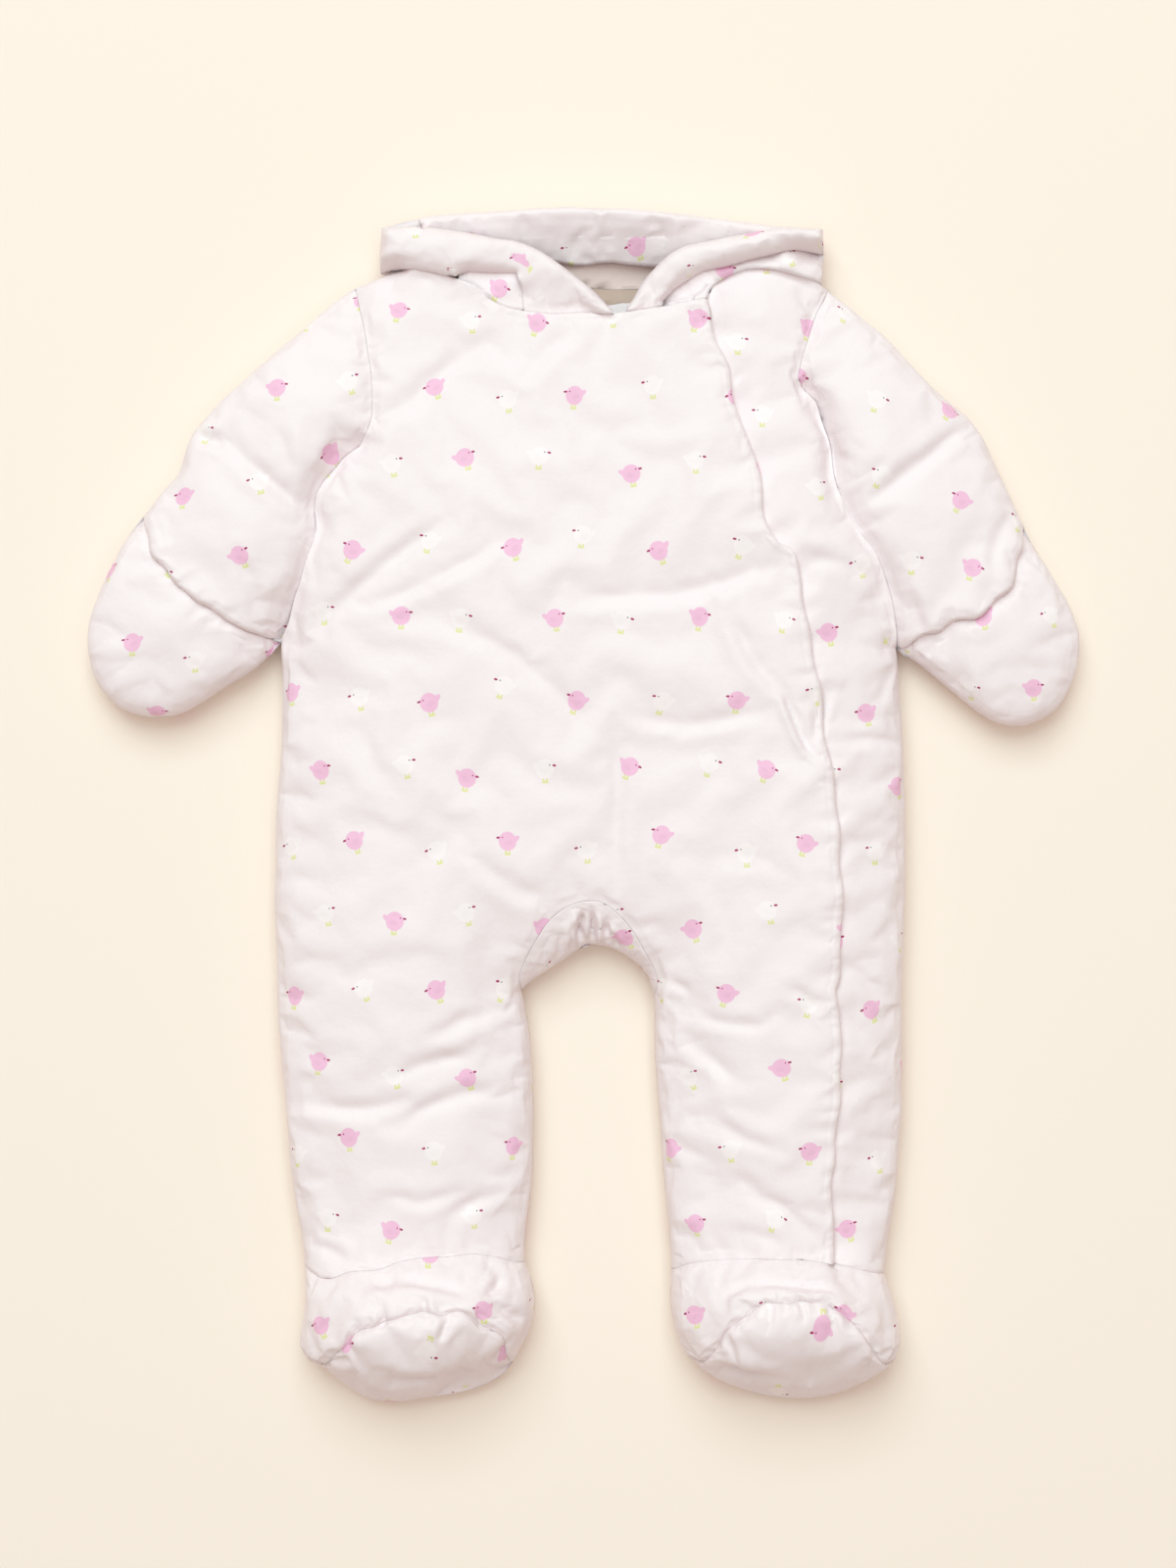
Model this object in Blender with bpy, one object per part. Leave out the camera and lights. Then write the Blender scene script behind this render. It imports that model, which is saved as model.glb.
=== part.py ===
"""A padded baby snowsuit with a hood, mittens and bootees, laid flat on its back.

Lengths in this file are in millimetres, seen from above: +X is the wearer's left, +Y runs from the
feet to the hood and +Z is up. Each cut piece is a closed padded wall: an outer sheet, an inner sheet
and the rim between them, over one outline that is put together from shared seam lines.
"""

import bmesh
import bpy
import numpy as np
from mathutils import Vector
from mathutils.geometry import delaunay_2d_cdt

METRE = 0.001
MIDDLE = (-0.26, 0.74)  # of the whole suit in the seam lines below, and the origin of the part

# Driving heights and walls.
SIDE_SEAM = 14.0  # height of the side seams, where front and back pieces meet
SEAM_GAP = 0.3  # between two pieces that are sewn together
LAYER_GAP = 0.5  # between two pieces that lie on each other
EDGE_WALL = 4.0  # padding pressed thin along a seam
TOP_WALL = 8.0  # padding of the pieces on top
BACK_WALL = 6.0  # padding of the pieces that lie on the floor
THIN_WALL = 2.6  # least wall, where a crease or a seam presses a piece thin
LINING_WALL = 1.5
TOP_ROUND = 60.0  # how far in from a side seam the top goes on rising
TOP_POWER = 2.2
BACK_ROUND = 16.0  # how far in from a side seam the back touches the floor

# The wrap-over flap.
FLAP_LIFT = 5.2
FLAP_OVER = 22.0  # how far the flap lies over the piece below
FLAP_FADE = 46.0  # how far from its edge the flap has settled

# Feet, which stand up and lean back.
TOE_RISE = 25.0
ANKLE_Y = -240.0
TOE_Y = -268.0
SOLE_BULGE = 3.0

# The hood, dropped back with its mouth up.
HOOD_MIDDLE = 8.9
HOOD_HALF = 117.3
HOOD_SIDE_FADE = 25.0
BAND_FLOOR = 24.3  # underside of the rolled bands
BAND_LOW = 27.0
BAND_CREST = 40.0
BAND_ROUND = 13.0
FACING_CREST = 32.0
SIDE_PIECE_TOP = 23.3

# Mesh sizes.
EDGE_STEP = 9.0
TOP_STEP = 12.0
HIDDEN_STEP = 24.0
SEAM_RINGS = (5.0,)
FREE_RINGS = (1.4, 5.0, 11.0)
HIDDEN_RINGS = (3.5, 12.0)
FLAP_RINGS = (7.0, 15.0, 24.0, 31.0, 39.0)

# Seam lines and free edges, each drawn smoothly through its points (x, y).
LINES = {
    "neckline": ((-51, 267), (-38, 262), (-22, 259), (-5, 259), (22, 260), (46, 262.7)),
    "neckline_end": ((46, 262.7), (56, 265), (64, 266)),
    "flap": (
        (64, 266), (72, 235), (81, 203), (91, 178), (95, 151), (101, 137), (110, 131), (115, 107),
        (120, 76), (125, 42), (131, 12), (133, -24), (134, -84), (131, -96), (133, -111),
        (133, -152), (130, -191), (131, -239.5),
    ),
    "flap_rest": ((46, 262.7), (54, 235), (63, 203), (73, 178), (80, 145), (91, 128), (102, 76),
                  (109, 30), (115, -24), (115, -150), (113, -236.3)),
    "shoulder_right": ((-122, 274.5), (-114, 278), (-106, 282), (-97, 284.5)),
    "hood_on_shoulder": ((-97, 284.5), (-87, 282.5), (-76, 280), (-66, 277.5), (-57, 274), (-51, 267)),
    "armhole_right": ((-122, 274.5), (-119, 262), (-115, 246), (-112, 226), (-111.5, 205), (-118, 190)),
    "flank_right": ((-118, 190), (-130, 179), (-141, 164), (-143, 140), (-148, 124), (-155, 102), (-160, 87)),
    "hip_right": ((-160, 87), (-160.5, 38), (-163.5, -4), (-163.5, -76), (-162, -118), (-158, -160),
                  (-154.5, -201), (-149, -232), (-148, -243)),
    "ankle_right": ((-148, -243), (-136, -246.5), (-123, -244.5), (-95, -237.5), (-73, -235), (-52, -236),
                    (-31.5, -241)),
    "inner_right": ((-31.5, -241), (-31.5, -225), (-28, -196), (-27, -154), (-29, -123), (-33.5, -97)),
    "crotch": ((-33.5, -97), (-28, -92), (-16, -84), (-4, -76), (2, -73), (14, -75), (26, -82),
               (33, -90), (37, -100)),
    "gusset_arch": ((-33.5, -97), (-34, -88), (-28, -75), (-18, -59), (-5, -51), (10, -51), (23, -62),
                    (33, -79), (38, -91), (37, -100)),
    "inner_left": ((37, -100), (38, -139), (41, -180), (44.5, -222), (46.5, -245)),
    "ankle_left_inside": ((46.5, -245), (57.5, -240), (80, -236.5), (113, -236.3)),
    "ankle_left_over": ((113, -236.3), (122, -237.5), (131, -239.5)),
    "ankle_left_outside": ((131, -239.5), (145, -243), (159, -247)),
    "hip_left": ((159, -247), (160.5, -230), (165, -200), (168, -160), (168.5, -97), (170, -24),
                 (168.5, 38), (165, 85)),
    "flank_left": ((165, 85), (162, 109), (155, 127.5), (142, 149), (133, 169), (129, 189), (123, 209),
                   (116, 219)),
    "armhole_left": ((116, 219), (112.5, 225), (115, 237), (121.5, 257), (129, 273.5)),
    "shoulder_left": ((129, 273.5), (125.5, 276), (114, 280), (101, 283), (90, 283.5), (82, 282), (75, 279)),
    "collar_end": ((75, 279), (67, 273), (64, 266)),
    "back_neck": ((-97, 284.5), (-71, 281), (-48, 276.5), (0, 275.5), (30, 275.5), (54, 276.5), (75, 279)),
    "arm_right": ((-122, 274.5), (-133, 267), (-150, 252), (-181, 225), (-206, 199), (-215.5, 176),
                  (-224, 166), (-234, 153.5)),
    "arm_left": ((129, 273.5), (145, 261), (161, 247.5), (181, 225), (205, 204), (216, 184), (232.5, 148)),
    "cuff_right": ((-234, 153.5), (-228, 137), (-215, 118.5), (-197, 103.5), (-180, 93.5), (-160, 87)),
    "cuff_left": ((232.5, 148), (230.5, 134), (223, 116), (213, 104), (198, 98), (185, 91.5), (165, 85)),
    "mitten_right": ((-234, 153.5), (-242, 144), (-249, 130), (-257, 114), (-262, 100), (-263, 85),
                     (-260, 69), (-252, 57), (-242, 50), (-228, 47.5), (-215, 49), (-204, 54), (-192, 62),
                     (-173, 74), (-160, 87)),
    "mitten_left": ((232.5, 148), (247, 125), (256, 109), (261.5, 95), (262.5, 82), (259, 67), (252.5, 54),
                    (243, 46.5), (229.5, 43), (215, 46), (197, 59), (181, 72), (165, 85)),
    "foot_right": ((-148, -243), (-148.5, -266), (-150.5, -283), (-147, -292)),
    "foot_right_inside": ((-31.5, -241), (-27, -256), (-27, -271), (-34, -288), (-38, -294)),
    "heel_right": ((-147, -292), (-135, -301), (-122, -310), (-106, -315.5), (-75, -313), (-55, -308),
                   (-44, -302), (-38, -294)),
    "sole_right": ((-147, -292), (-136, -294), (-130, -287), (-121, -279), (-104, -272), (-89, -267.5),
                   (-65, -267), (-48, -274), (-41, -284), (-38, -294)),
    "foot_left_inside": ((46.5, -245), (46, -264), (49, -281), (54, -291)),
    "foot_left": ((159, -247), (164.5, -265), (167, -280), (165, -291)),
    "heel_left": ((54, -291), (62, -299), (75, -306), (95, -312.5), (112.5, -314.5), (132, -312),
                  (147, -306), (158, -300), (165, -291)),
    "sole_left": ((54, -291), (61, -292), (67, -284), (78, -273), (97, -265), (121, -265.5), (140, -274.5),
                  (151, -286), (157, -293), (165, -291)),
    "hood_back_low": ((125.5, 277), (114, 281), (101, 284), (90, 284.5), (82, 283), (75, 280), (54, 277.3),
                      (30, 276.3), (0, 276.3), (-48, 277.3), (-71, 281.8), (-97, 285.3), (-108, 283)),
    "hood_edge_right": ((-108, 283), (-108.5, 293), (-107.5, 306)),
    "crown": ((-107.5, 306), (-92, 310.5), (-69, 314), (-39, 316), (8, 317), (45, 314.5), (76, 310.5),
              (105, 307), (126, 305)),
    "hood_edge_left_band": ((126, 305), (126.5, 298), (126.5, 292)),
    "hood_edge_left_side": ((126.5, 290.5), (126.5, 284), (125.5, 277)),
    "hood_edge_left": ((126, 305), (126.5, 291), (125.5, 277)),
    "facing_crown": ((-88, 311.2), (-69, 314), (-39, 316), (8, 317), (45, 314.5), (76, 310.5), (105, 307)),
    "facing_edge": ((105, 307), (100, 298), (85, 294), (62, 290.5), (43, 287), (28, 288), (12, 289.5),
                    (-1, 287.5), (-21, 289.5), (-40, 291.5), (-62, 295), (-82, 300), (-88, 311.2)),
    "rim_right": ((-107.5, 306), (-82, 304), (-52, 300), (-30, 295), (-9, 282), (8, 268), (15, 261)),
    "rim_left": ((126, 305), (105, 304.5), (81, 300), (50, 293.5), (34, 280), (25, 267), (20.5, 261)),
    "band_neck_right": ((15, 261), (-5, 260), (-22, 260), (-31.5, 261.7)),
    "band_seam_right": ((-31.5, 261.7), (-33.5, 274), (-36, 280)),
    "roll_right": ((-36, 280), (-60, 282), (-67, 279.8), (-76, 281), (-87, 283.4), (-97, 285.3),
                   (-108, 283)),
    "band_neck_left": ((20.5, 261), (30, 261.5), (39, 262.7)),
    "roll_left": ((39, 262.7), (48, 272.5), (62, 281), (76, 284.3), (95, 290), (113, 294), (126.5, 292)),
    "side_neck_right": ((-50, 268.3), (-38, 263.3), (-32, 261.7)),
    "side_hidden_right": ((-32, 261.7), (-34, 274), (-36.5, 280), (-38, 288), (-50, 290), (-62, 287),
                          (-66, 278.6)),
    "side_collar_right": ((-66, 278.6), (-57, 275), (-50, 268.3)),
    "side_neck_left": ((39.5, 262.7), (56, 266.2), (63.3, 267)),
    "side_collar_left": ((63.3, 267), (66, 274), (74.5, 280)),
    "side_shoulder_left": ((74.5, 280), (82, 283), (90, 284.5), (101, 284), (114, 281), (125.5, 277)),
    "side_hidden_left": ((126.5, 290.5), (120, 291.2), (113, 292.3), (104, 291.5), (95, 294), (76, 289),
                         (60, 287), (48, 279), (41, 270), (39.5, 262.7)),
    "hood_lining_low": ((-46, 278), (0, 277), (30, 277), (52, 278)),
    "hood_lining_high": ((52, 278), (57, 286), (40, 293), (8, 294), (-25, 294), (-52, 287), (-46, 278)),
    "neck_lining_high": ((-46, 275.2), (0, 274.4), (30, 274.4), (52, 275.2)),
    "neck_lining_low": ((52, 275.2), (52, 250), (40, 240), (5, 236), (-33, 240), (-47, 250), (-46, 275.2)),
}

# Heights of the padding, laid flat: (x, y, height).
HEIGHTS = (
    (5, 262, 30), (-85, 268, 28), (95, 268, 28), (0, 190, 40), (0, 100, 43), (0, 0, 41),
    (-95, -60, 41), (105, -60, 41), (-95, -150, 40), (105, -150, 39), (-90, -235, 36), (103, -235, 36),
    (-160, 215, 39), (165, 215, 39), (-190, 150, 41), (190, 150, 41), (-195, 110, 37), (195, 110, 37),
    (-222, 80, 34), (222, 80, 34),
)
HEIGHT_SPREAD = 46.0

# Seams that press the padding down from above: (line, depth, width).
VALLEYS = (
    ("armhole_right", 6.0, 8.0), ("armhole_left", 6.0, 8.0), ("gusset_arch", 5.0, 7.0),
    ("ankle_right", 8.0, 9.0), ("ankle_left_inside", 8.0, 9.0), ("ankle_left_over", 8.0, 9.0),
    ("ankle_left_outside", 8.0, 9.0), ("neckline", 2.0, 9.0),
)

# The largest folds, as soft troughs through three points: (x, y, x, y, x, y, depth, width).
FOLDS = (
    (-63, 154, -102, 128, -140, 95, 3.6, 11), (-34, 143, -89, 114, -131, 103, 2.6, 10),
    (-99, 99, -48, 86, 11, 36, 2.4, 11), (108, 130, 54, 113, -19, 108, 2.6, 11),
    (15, 49, 54, 43, 101, 50, 2.0, 10), (17, 43, 17, -4, 16, -46, 1.5, 9),
    (76, 103, 89, 76, 106, 58, 2.6, 10), (-58, -130, -84, -134, -100, -142, 3.0, 10),
    (-82, -150, -118, -158, -154, -155, 3.0, 10), (-43, -148, -68, -152, -104, -167, 3.0, 10),
    (-34, -201, -55, -206, -76, -216, 2.2, 9), (50, -115, 64, -130, 82, -145, 2.6, 10),
    (76, -193, 104, -210, 126, -231, 2.6, 10), (-206, 195, -188, 192, -143, 151, 5.0, 11),
    (202, 200, 167, 173, 142, 153, 4.6, 11), (-125, 205, -132, 185, -139, 168, 2.4, 9),
    (117, 219, 128, 194, 132, 170, 2.6, 9), (-34, 254, -68, 233, -110, 197, 1.6, 11),
)

# Colours: (red, green, blue), linear.
PRINTED_PINK = (0.86, 0.76, 0.79)
LINING_WHITE = (0.88, 0.86, 0.83)


def smooth_line(points, step):
    """Points at even steps along a smooth curve through the given ones."""
    given = np.array(points, float)
    padded = np.vstack([2 * given[0] - given[1], given, 2 * given[-1] - given[-2]])
    share = np.linspace(0.0, 1.0, 12, endpoint=False)[:, None]
    dense = []
    for p0, p1, p2, p3 in zip(padded, padded[1:], padded[2:], padded[3:]):
        dense.append(
            0.5 * (2 * p1 + (p2 - p0) * share + (2 * p0 - 5 * p1 + 4 * p2 - p3) * share**2
                   + (3 * p1 - p0 - 3 * p2 + p3) * share**3)
        )
    dense = np.vstack(dense + [given[-1:]])
    along = np.concatenate([[0.0], np.cumsum(np.hypot(*np.diff(dense, axis=0).T))])
    count = max(2, round(along[-1] / step) + 1)
    wanted = np.linspace(0.0, along[-1], count)
    return np.column_stack([np.interp(wanted, along, dense[:, 0]), np.interp(wanted, along, dense[:, 1])])


def distance_to(lines, spots):
    """Shortest distance from each spot to any of the polylines, and the nearest place."""
    starts = np.vstack([line[:-1] for line in lines])
    runs = np.vstack([np.diff(line, axis=0) for line in lines])
    best = np.full(len(spots), np.inf)
    place = np.zeros((len(spots), 2))
    for start, run in zip(starts, runs):
        share = np.clip((spots - start) @ run / max(run @ run, 1e-9), 0.0, 1.0)
        near = start + share[:, None] * run
        far = np.hypot(*(spots - near).T)
        closer = far < best
        best[closer] = far[closer]
        place[closer] = near[closer]
    return best, place


def eased(share):
    """A smooth step from 0 to 1."""
    share = np.clip(share, 0.0, 1.0)
    return share * share * (3.0 - 2.0 * share)


def rounded(share, power=2.0):
    """Rises steeply from 0 and levels off at 1, like the side of a pillow."""
    share = np.clip(share, 0.0, 1.0)
    return (1.0 - (1.0 - share) ** power) ** (1.0 / power)


FINE = {name: smooth_line(points, 4.0) for name, points in LINES.items()}
FREE_NAMES = (
    "shoulder_right", "flank_right", "hip_right", "inner_right", "crotch", "inner_left", "hip_left",
    "flank_left", "shoulder_left", "arm_right", "arm_left", "mitten_right", "mitten_left", "foot_right",
    "foot_right_inside", "heel_right", "foot_left", "foot_left_inside", "heel_left", "crown",
    "hood_edge_right", "hood_edge_left",
)
FREE_LINES = [FINE[name] for name in FREE_NAMES]
HOOD_LINES = [FINE[name] for name in ("crown", "hood_edge_right", "hood_edge_left")]
CUFF_LINES = [FINE["cuff_right"], FINE["cuff_left"]]
RIM = np.vstack([FINE["rim_right"], FINE["rim_left"][::-1]])
ROLL = FINE["roll_left"]


def plain_height(spots):
    """Height that the padding would reach far from every seam."""
    weights = np.zeros(len(spots))
    total = np.zeros(len(spots))
    for x, y, height in HEIGHTS:
        weight = np.exp(-((spots[:, 0] - x) ** 2 + (spots[:, 1] - y) ** 2) / (2 * HEIGHT_SPREAD**2)) + 1e-6
        weights += weight
        total += weight * height
    toe = eased((ANKLE_Y - spots[:, 1]) / (ANKLE_Y - TOE_Y))
    return total / weights + TOE_RISE * toe


def folds(spots):
    """How far the folds dip at each spot."""
    dip = np.zeros(len(spots))
    for x0, y0, x1, y1, x2, y2, depth, width in FOLDS:
        line = smooth_line(((x0, y0), (x1, y1), (x2, y2)), 6.0)
        far, near = distance_to([line], spots)
        ends = np.minimum(np.hypot(*(near - line[0]).T), np.hypot(*(near - line[-1]).T))
        dip = np.maximum(dip, depth * np.exp(-((far / width) ** 2)) * (0.35 + 0.65 * eased(ends / 18.0)))
    return dip


def valleys(spots):
    """How far the seams on top press the padding down."""
    dip = np.zeros(len(spots))
    for name, depth, width in VALLEYS:
        far, _ = distance_to([FINE[name]], spots)
        dip = np.maximum(dip, depth * np.exp(-((far / width) ** 2)))
    return dip


def top(spots):
    """Upper surface of everything but the hood, the flap and the soles."""
    side, _ = distance_to(FREE_LINES, spots)
    fullness = rounded(side / TOP_ROUND, TOP_POWER)
    height = SIDE_SEAM + (plain_height(spots) - SIDE_SEAM) * fullness
    return height - (folds(spots) + valleys(spots)) * fullness


def top_inner(spots):
    """Inside of the pieces on top, plain and clear of the creases."""
    side, _ = distance_to(FREE_LINES, spots)
    fullness = rounded((side - EDGE_WALL) / TOP_ROUND, TOP_POWER)
    height = SIDE_SEAM + (plain_height(spots) - TOP_WALL - SIDE_SEAM) * fullness
    return np.minimum(height, top(spots) - THIN_WALL)


def under(spots, edges=FREE_LINES):
    """Underside, flat on the floor but for its rounded edges."""
    side, _ = distance_to(edges, spots)
    return SIDE_SEAM * (1.0 - rounded(side / BACK_ROUND))


def under_inner(spots, edges=FREE_LINES):
    """Inside of the pieces that lie on the floor."""
    side, _ = distance_to(edges, spots)
    return SIDE_SEAM - (SIDE_SEAM - BACK_WALL) * rounded((side - EDGE_WALL) / (BACK_ROUND - EDGE_WALL))


def hood_under(spots):
    """Underside of the hood, which the shoulders don't press up."""
    return under(spots, HOOD_LINES)


def hood_under_inner(spots):
    """Inside of the hood's back."""
    return under_inner(spots, HOOD_LINES)


def inside_flap(spots):
    """How far inside the flap's edge each spot is, measured across the suit."""
    edge = FINE["flap"][::-1]
    return np.interp(spots[:, 1], edge[:, 1], edge[:, 0]) - spots[:, 0]


def flap_lift(spots):
    """How far the over-front stands up near the flap's edge."""
    return FLAP_LIFT * eased((FLAP_OVER + FLAP_FADE - inside_flap(spots)) / FLAP_FADE)


def wrap_top(spots):
    return top(spots) + flap_lift(spots)


def wrap_inner(spots):
    """Lies on the piece below near the flap's edge and takes the full padding further in."""
    share = eased((inside_flap(spots) - FLAP_OVER - 4.0) / 12.0)
    resting = top(spots) + LAYER_GAP
    return (1.0 - share) * resting + share * (top_inner(spots) + flap_lift(spots))


def side_front_top(spots):
    """The piece below the flap, pressed a little where the flap covers it."""
    return top(spots) - 2.0 * LAYER_GAP * eased((inside_flap(spots) + 4.0) / 10.0)


def mitten_top(spots):
    """Starts below the sleeve's hem and fills out away from it."""
    far, _ = distance_to(CUFF_LINES, spots)
    return top(spots) - 4.6 * np.exp(-((far / 11.0) ** 2))


def mitten_inner(spots):
    """Inside of a mitten's upper half."""
    return np.minimum(top_inner(spots), mitten_top(spots) - THIN_WALL)


def sole(name, wall):
    """A padded oval that slants from the toe seam down to the heel."""
    toe = [FINE["sole_" + name]]
    heel = [FINE["heel_" + name]]

    def surface(spots):
        low, _ = distance_to(heel, spots)
        high, seam = distance_to(toe, spots)
        low = np.maximum(low - (EDGE_WALL if wall else 0.0), 0.0)
        share = low / np.maximum(low + high, 1e-6)
        bulge = SOLE_BULGE * np.sin(np.pi * share)
        return SIDE_SEAM + (top(seam) - wall - SIDE_SEAM) * share**0.75 + bulge * (1.0 if not wall else 0.4)

    return surface


def hood_side_share(spots):
    """0 at the hood's left and right edges and 1 a little way in."""
    edge = HOOD_HALF - np.abs(spots[:, 0] - HOOD_MIDDLE)
    return eased(edge / HOOD_SIDE_FADE)


def band_inner(spots):
    """Underside of the rolled bands."""
    edge = HOOD_HALF - EDGE_WALL - np.abs(spots[:, 0] - HOOD_MIDDLE)
    return SIDE_SEAM + (BAND_FLOOR - SIDE_SEAM) * eased(edge / HOOD_SIDE_FADE)


def band(names):
    """A rolled band, round along all its edges."""
    edges = [FINE[name] for name in names]

    def surface(spots):
        low = SIDE_SEAM + (BAND_LOW - SIDE_SEAM) * hood_side_share(spots)
        far, _ = distance_to(edges, spots)
        return low + (BAND_CREST - low) * rounded(far / BAND_ROUND)

    return surface


def below_bands(spots):
    """The highest that anything below the bands may reach."""
    return band_inner(spots) - LAYER_GAP


def facing_top(spots):
    """Climbs from the crown's edge to a crest, slopes into the hood and passes below the bands."""
    far, _ = distance_to([FINE["crown"]], spots)
    across = np.abs(spots[:, 0] - HOOD_MIDDLE)
    crest = FACING_CREST - (FACING_CREST - SIDE_PIECE_TOP) * eased((across - 35.0) / 30.0)
    climb = SIDE_SEAM + (crest - SIDE_SEAM) * rounded(far / 12.0)
    slope = (crest - SIDE_SEAM) / 14.0 * np.maximum(far - 13.0, 0.0)
    shape = np.maximum(climb - slope, SIDE_SEAM - 1.0)
    covered = spots[:, 1] < np.interp(spots[:, 0], RIM[:, 0], RIM[:, 1]) + 3.0
    return np.where(covered, np.minimum(shape, below_bands(spots) - LAYER_GAP), shape)


def facing_inner(spots):
    """Inside of the printed strip, clear of the lining on the hood's back."""
    far, _ = distance_to([FINE["crown"]], spots)
    share = eased((far - EDGE_WALL) / 6.0)
    shape = (1 - share) * SIDE_SEAM + share * (facing_top(spots) - 5.0)
    return np.maximum(shape, hood_under_inner(spots) + 2 * LAYER_GAP + LINING_WALL)


def side_piece_top(spots):
    """Rises from the hood's edge and passes below the band."""
    edge = HOOD_HALF - np.abs(spots[:, 0] - HOOD_MIDDLE)
    shape = SIDE_SEAM + (SIDE_PIECE_TOP - SIDE_SEAM) * rounded(edge / 12.0)
    covered = spots[:, 1] > np.interp(spots[:, 0], ROLL[:, 0], ROLL[:, 1]) - 2.0
    return np.where(covered, np.minimum(shape, below_bands(spots)), shape)


def side_piece_inner(spots):
    """Inside of the hood's side pieces."""
    edge = HOOD_HALF - EDGE_WALL - np.abs(spots[:, 0] - HOOD_MIDDLE)
    share = eased(edge / 10.0)
    return (1 - share) * SIDE_SEAM + share * (side_piece_top(spots) - EDGE_WALL)


def lining(base, lift):
    """A thin sheet that lies on the inside of a piece."""

    def surface(spots):
        return base(spots) + lift

    return surface


class Outline:
    """A closed outline made of seam lines ("seam") and edges without a neighbour ("free")."""

    def __init__(self, edges, step):
        points = []
        kinds = []
        for name, kind in edges:
            line = smooth_line(LINES[name.lstrip("-")], step)
            if name.startswith("-"):
                line = line[::-1]
            points.extend(line[:-1])
            kinds.extend([kind] * (len(line) - 1))
        points = np.array(points)
        ahead = np.roll(points, -1, axis=0)
        area = np.sum(points[:, 0] * ahead[:, 1] - ahead[:, 0] * points[:, 1])
        if area < 0:
            points = points[::-1]
            kinds = kinds[::-1]
            kinds = kinds[1:] + kinds[:1]
        free_ahead = np.array([kind == "free" for kind in kinds])
        free_behind = np.roll(free_ahead, 1)
        run = np.roll(points, -1, axis=0) - points
        run /= np.hypot(*run.T)[:, None]
        ahead = np.column_stack([-run[:, 1], run[:, 0]])
        behind = np.roll(ahead, 1, axis=0)
        cosine = np.sum(ahead * behind, axis=1)[:, None]
        miter = (ahead + behind) / np.maximum(1.0 + cosine, 0.5)
        self.free = free_ahead & free_behind
        self.corner = free_ahead ^ free_behind
        self.outer = points + miter * SEAM_GAP / 2
        inset = np.full(len(points), EDGE_WALL)
        closed = np.vstack([points, points[:1]])
        sewn = [closed[at:at + 2] for at in np.flatnonzero(~free_ahead)]
        if sewn:
            room, _ = distance_to(sewn, points)
            inset = np.minimum(inset, 0.6 * room)
        inset[~self.free] = 0.0
        self.inner = self.outer + miter * inset[:, None]
        self.normal = miter / np.hypot(*miter.T)[:, None]


def is_inside(spots, loop):
    """Which spots a closed loop goes round."""
    x, y = spots.T
    inside = np.zeros(len(spots), bool)
    for (x0, y0), (x1, y1) in zip(loop, np.roll(loop, -1, axis=0)):
        if y0 == y1:
            continue
        crosses = (y0 > y) != (y1 > y)
        inside ^= crosses & (x < (x1 - x0) * (y - y0) / (y1 - y0) + x0)
    return inside


def fill(loop, normal, free, spacing, free_rings, seam_rings):
    """Spots inside a loop: rings that follow its edge, then an even grid."""
    closed = [np.vstack([loop, loop[:1]])]
    kept = np.empty((0, 2))
    rings = [(loop[free], normal[free], far, far * 0.7) for far in free_rings]
    rings += [(loop[~free], normal[~free], far, far * 0.7) for far in seam_rings]
    for base, way, far, clear in rings:
        if not len(base):
            continue
        spots = base + way * far
        spots = spots[is_inside(spots, loop)]
        if not len(spots):
            continue
        room, _ = distance_to(closed, spots)
        for spot in spots[room > clear]:
            if not len(kept) or np.hypot(*(kept - spot).T).min() > min(0.55 * spacing, 0.45 * far + 0.4):
                kept = np.vstack([kept, spot])
    low = loop.min(axis=0)
    high = loop.max(axis=0)
    rows = np.arange(low[1], high[1], spacing * 0.866)
    grid = [
        (x, y)
        for row, y in enumerate(rows)
        for x in np.arange(low[0] + (row % 2) * spacing / 2, high[0], spacing)
    ]
    spots = np.array(grid)
    spots = spots[is_inside(spots, loop)]
    if len(spots):
        room, _ = distance_to(closed, spots)
        spots = spots[room > 0.5 * spacing]
    for spot in spots:
        if not len(kept) or np.hypot(*(kept - spot).T).min() > 0.62 * spacing:
            kept = np.vstack([kept, spot])
    return kept


def triangles(loop, spots):
    """Triangles over a loop and the spots inside it, as indices into loop then spots."""
    points = [Vector(point) for point in np.vstack([loop, spots])]
    ring = list(range(len(loop)))
    found = delaunay_2d_cdt(points, [], [ring], 1, 1e-6)
    vertices, _, faces, origins = found[0], found[1], found[2], found[3]
    if len(vertices) != len(points):
        raise ValueError("the outline crosses itself or a spot falls together with another")
    back = [source[0] for source in origins]
    return [[back[corner] for corner in face] for face in faces]


def material(name, colour):
    """A soft matt cloth of one colour."""
    cloth = bpy.data.materials.new(name)
    cloth.use_nodes = True
    shader = cloth.node_tree.nodes["Principled BSDF"]
    shader.inputs["Base Color"].default_value = (*colour, 1.0)
    shader.inputs["Roughness"].default_value = 0.75
    shader.inputs["Metallic"].default_value = 0.0
    cloth.diffuse_color = (*colour, 1.0)
    return cloth


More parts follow.
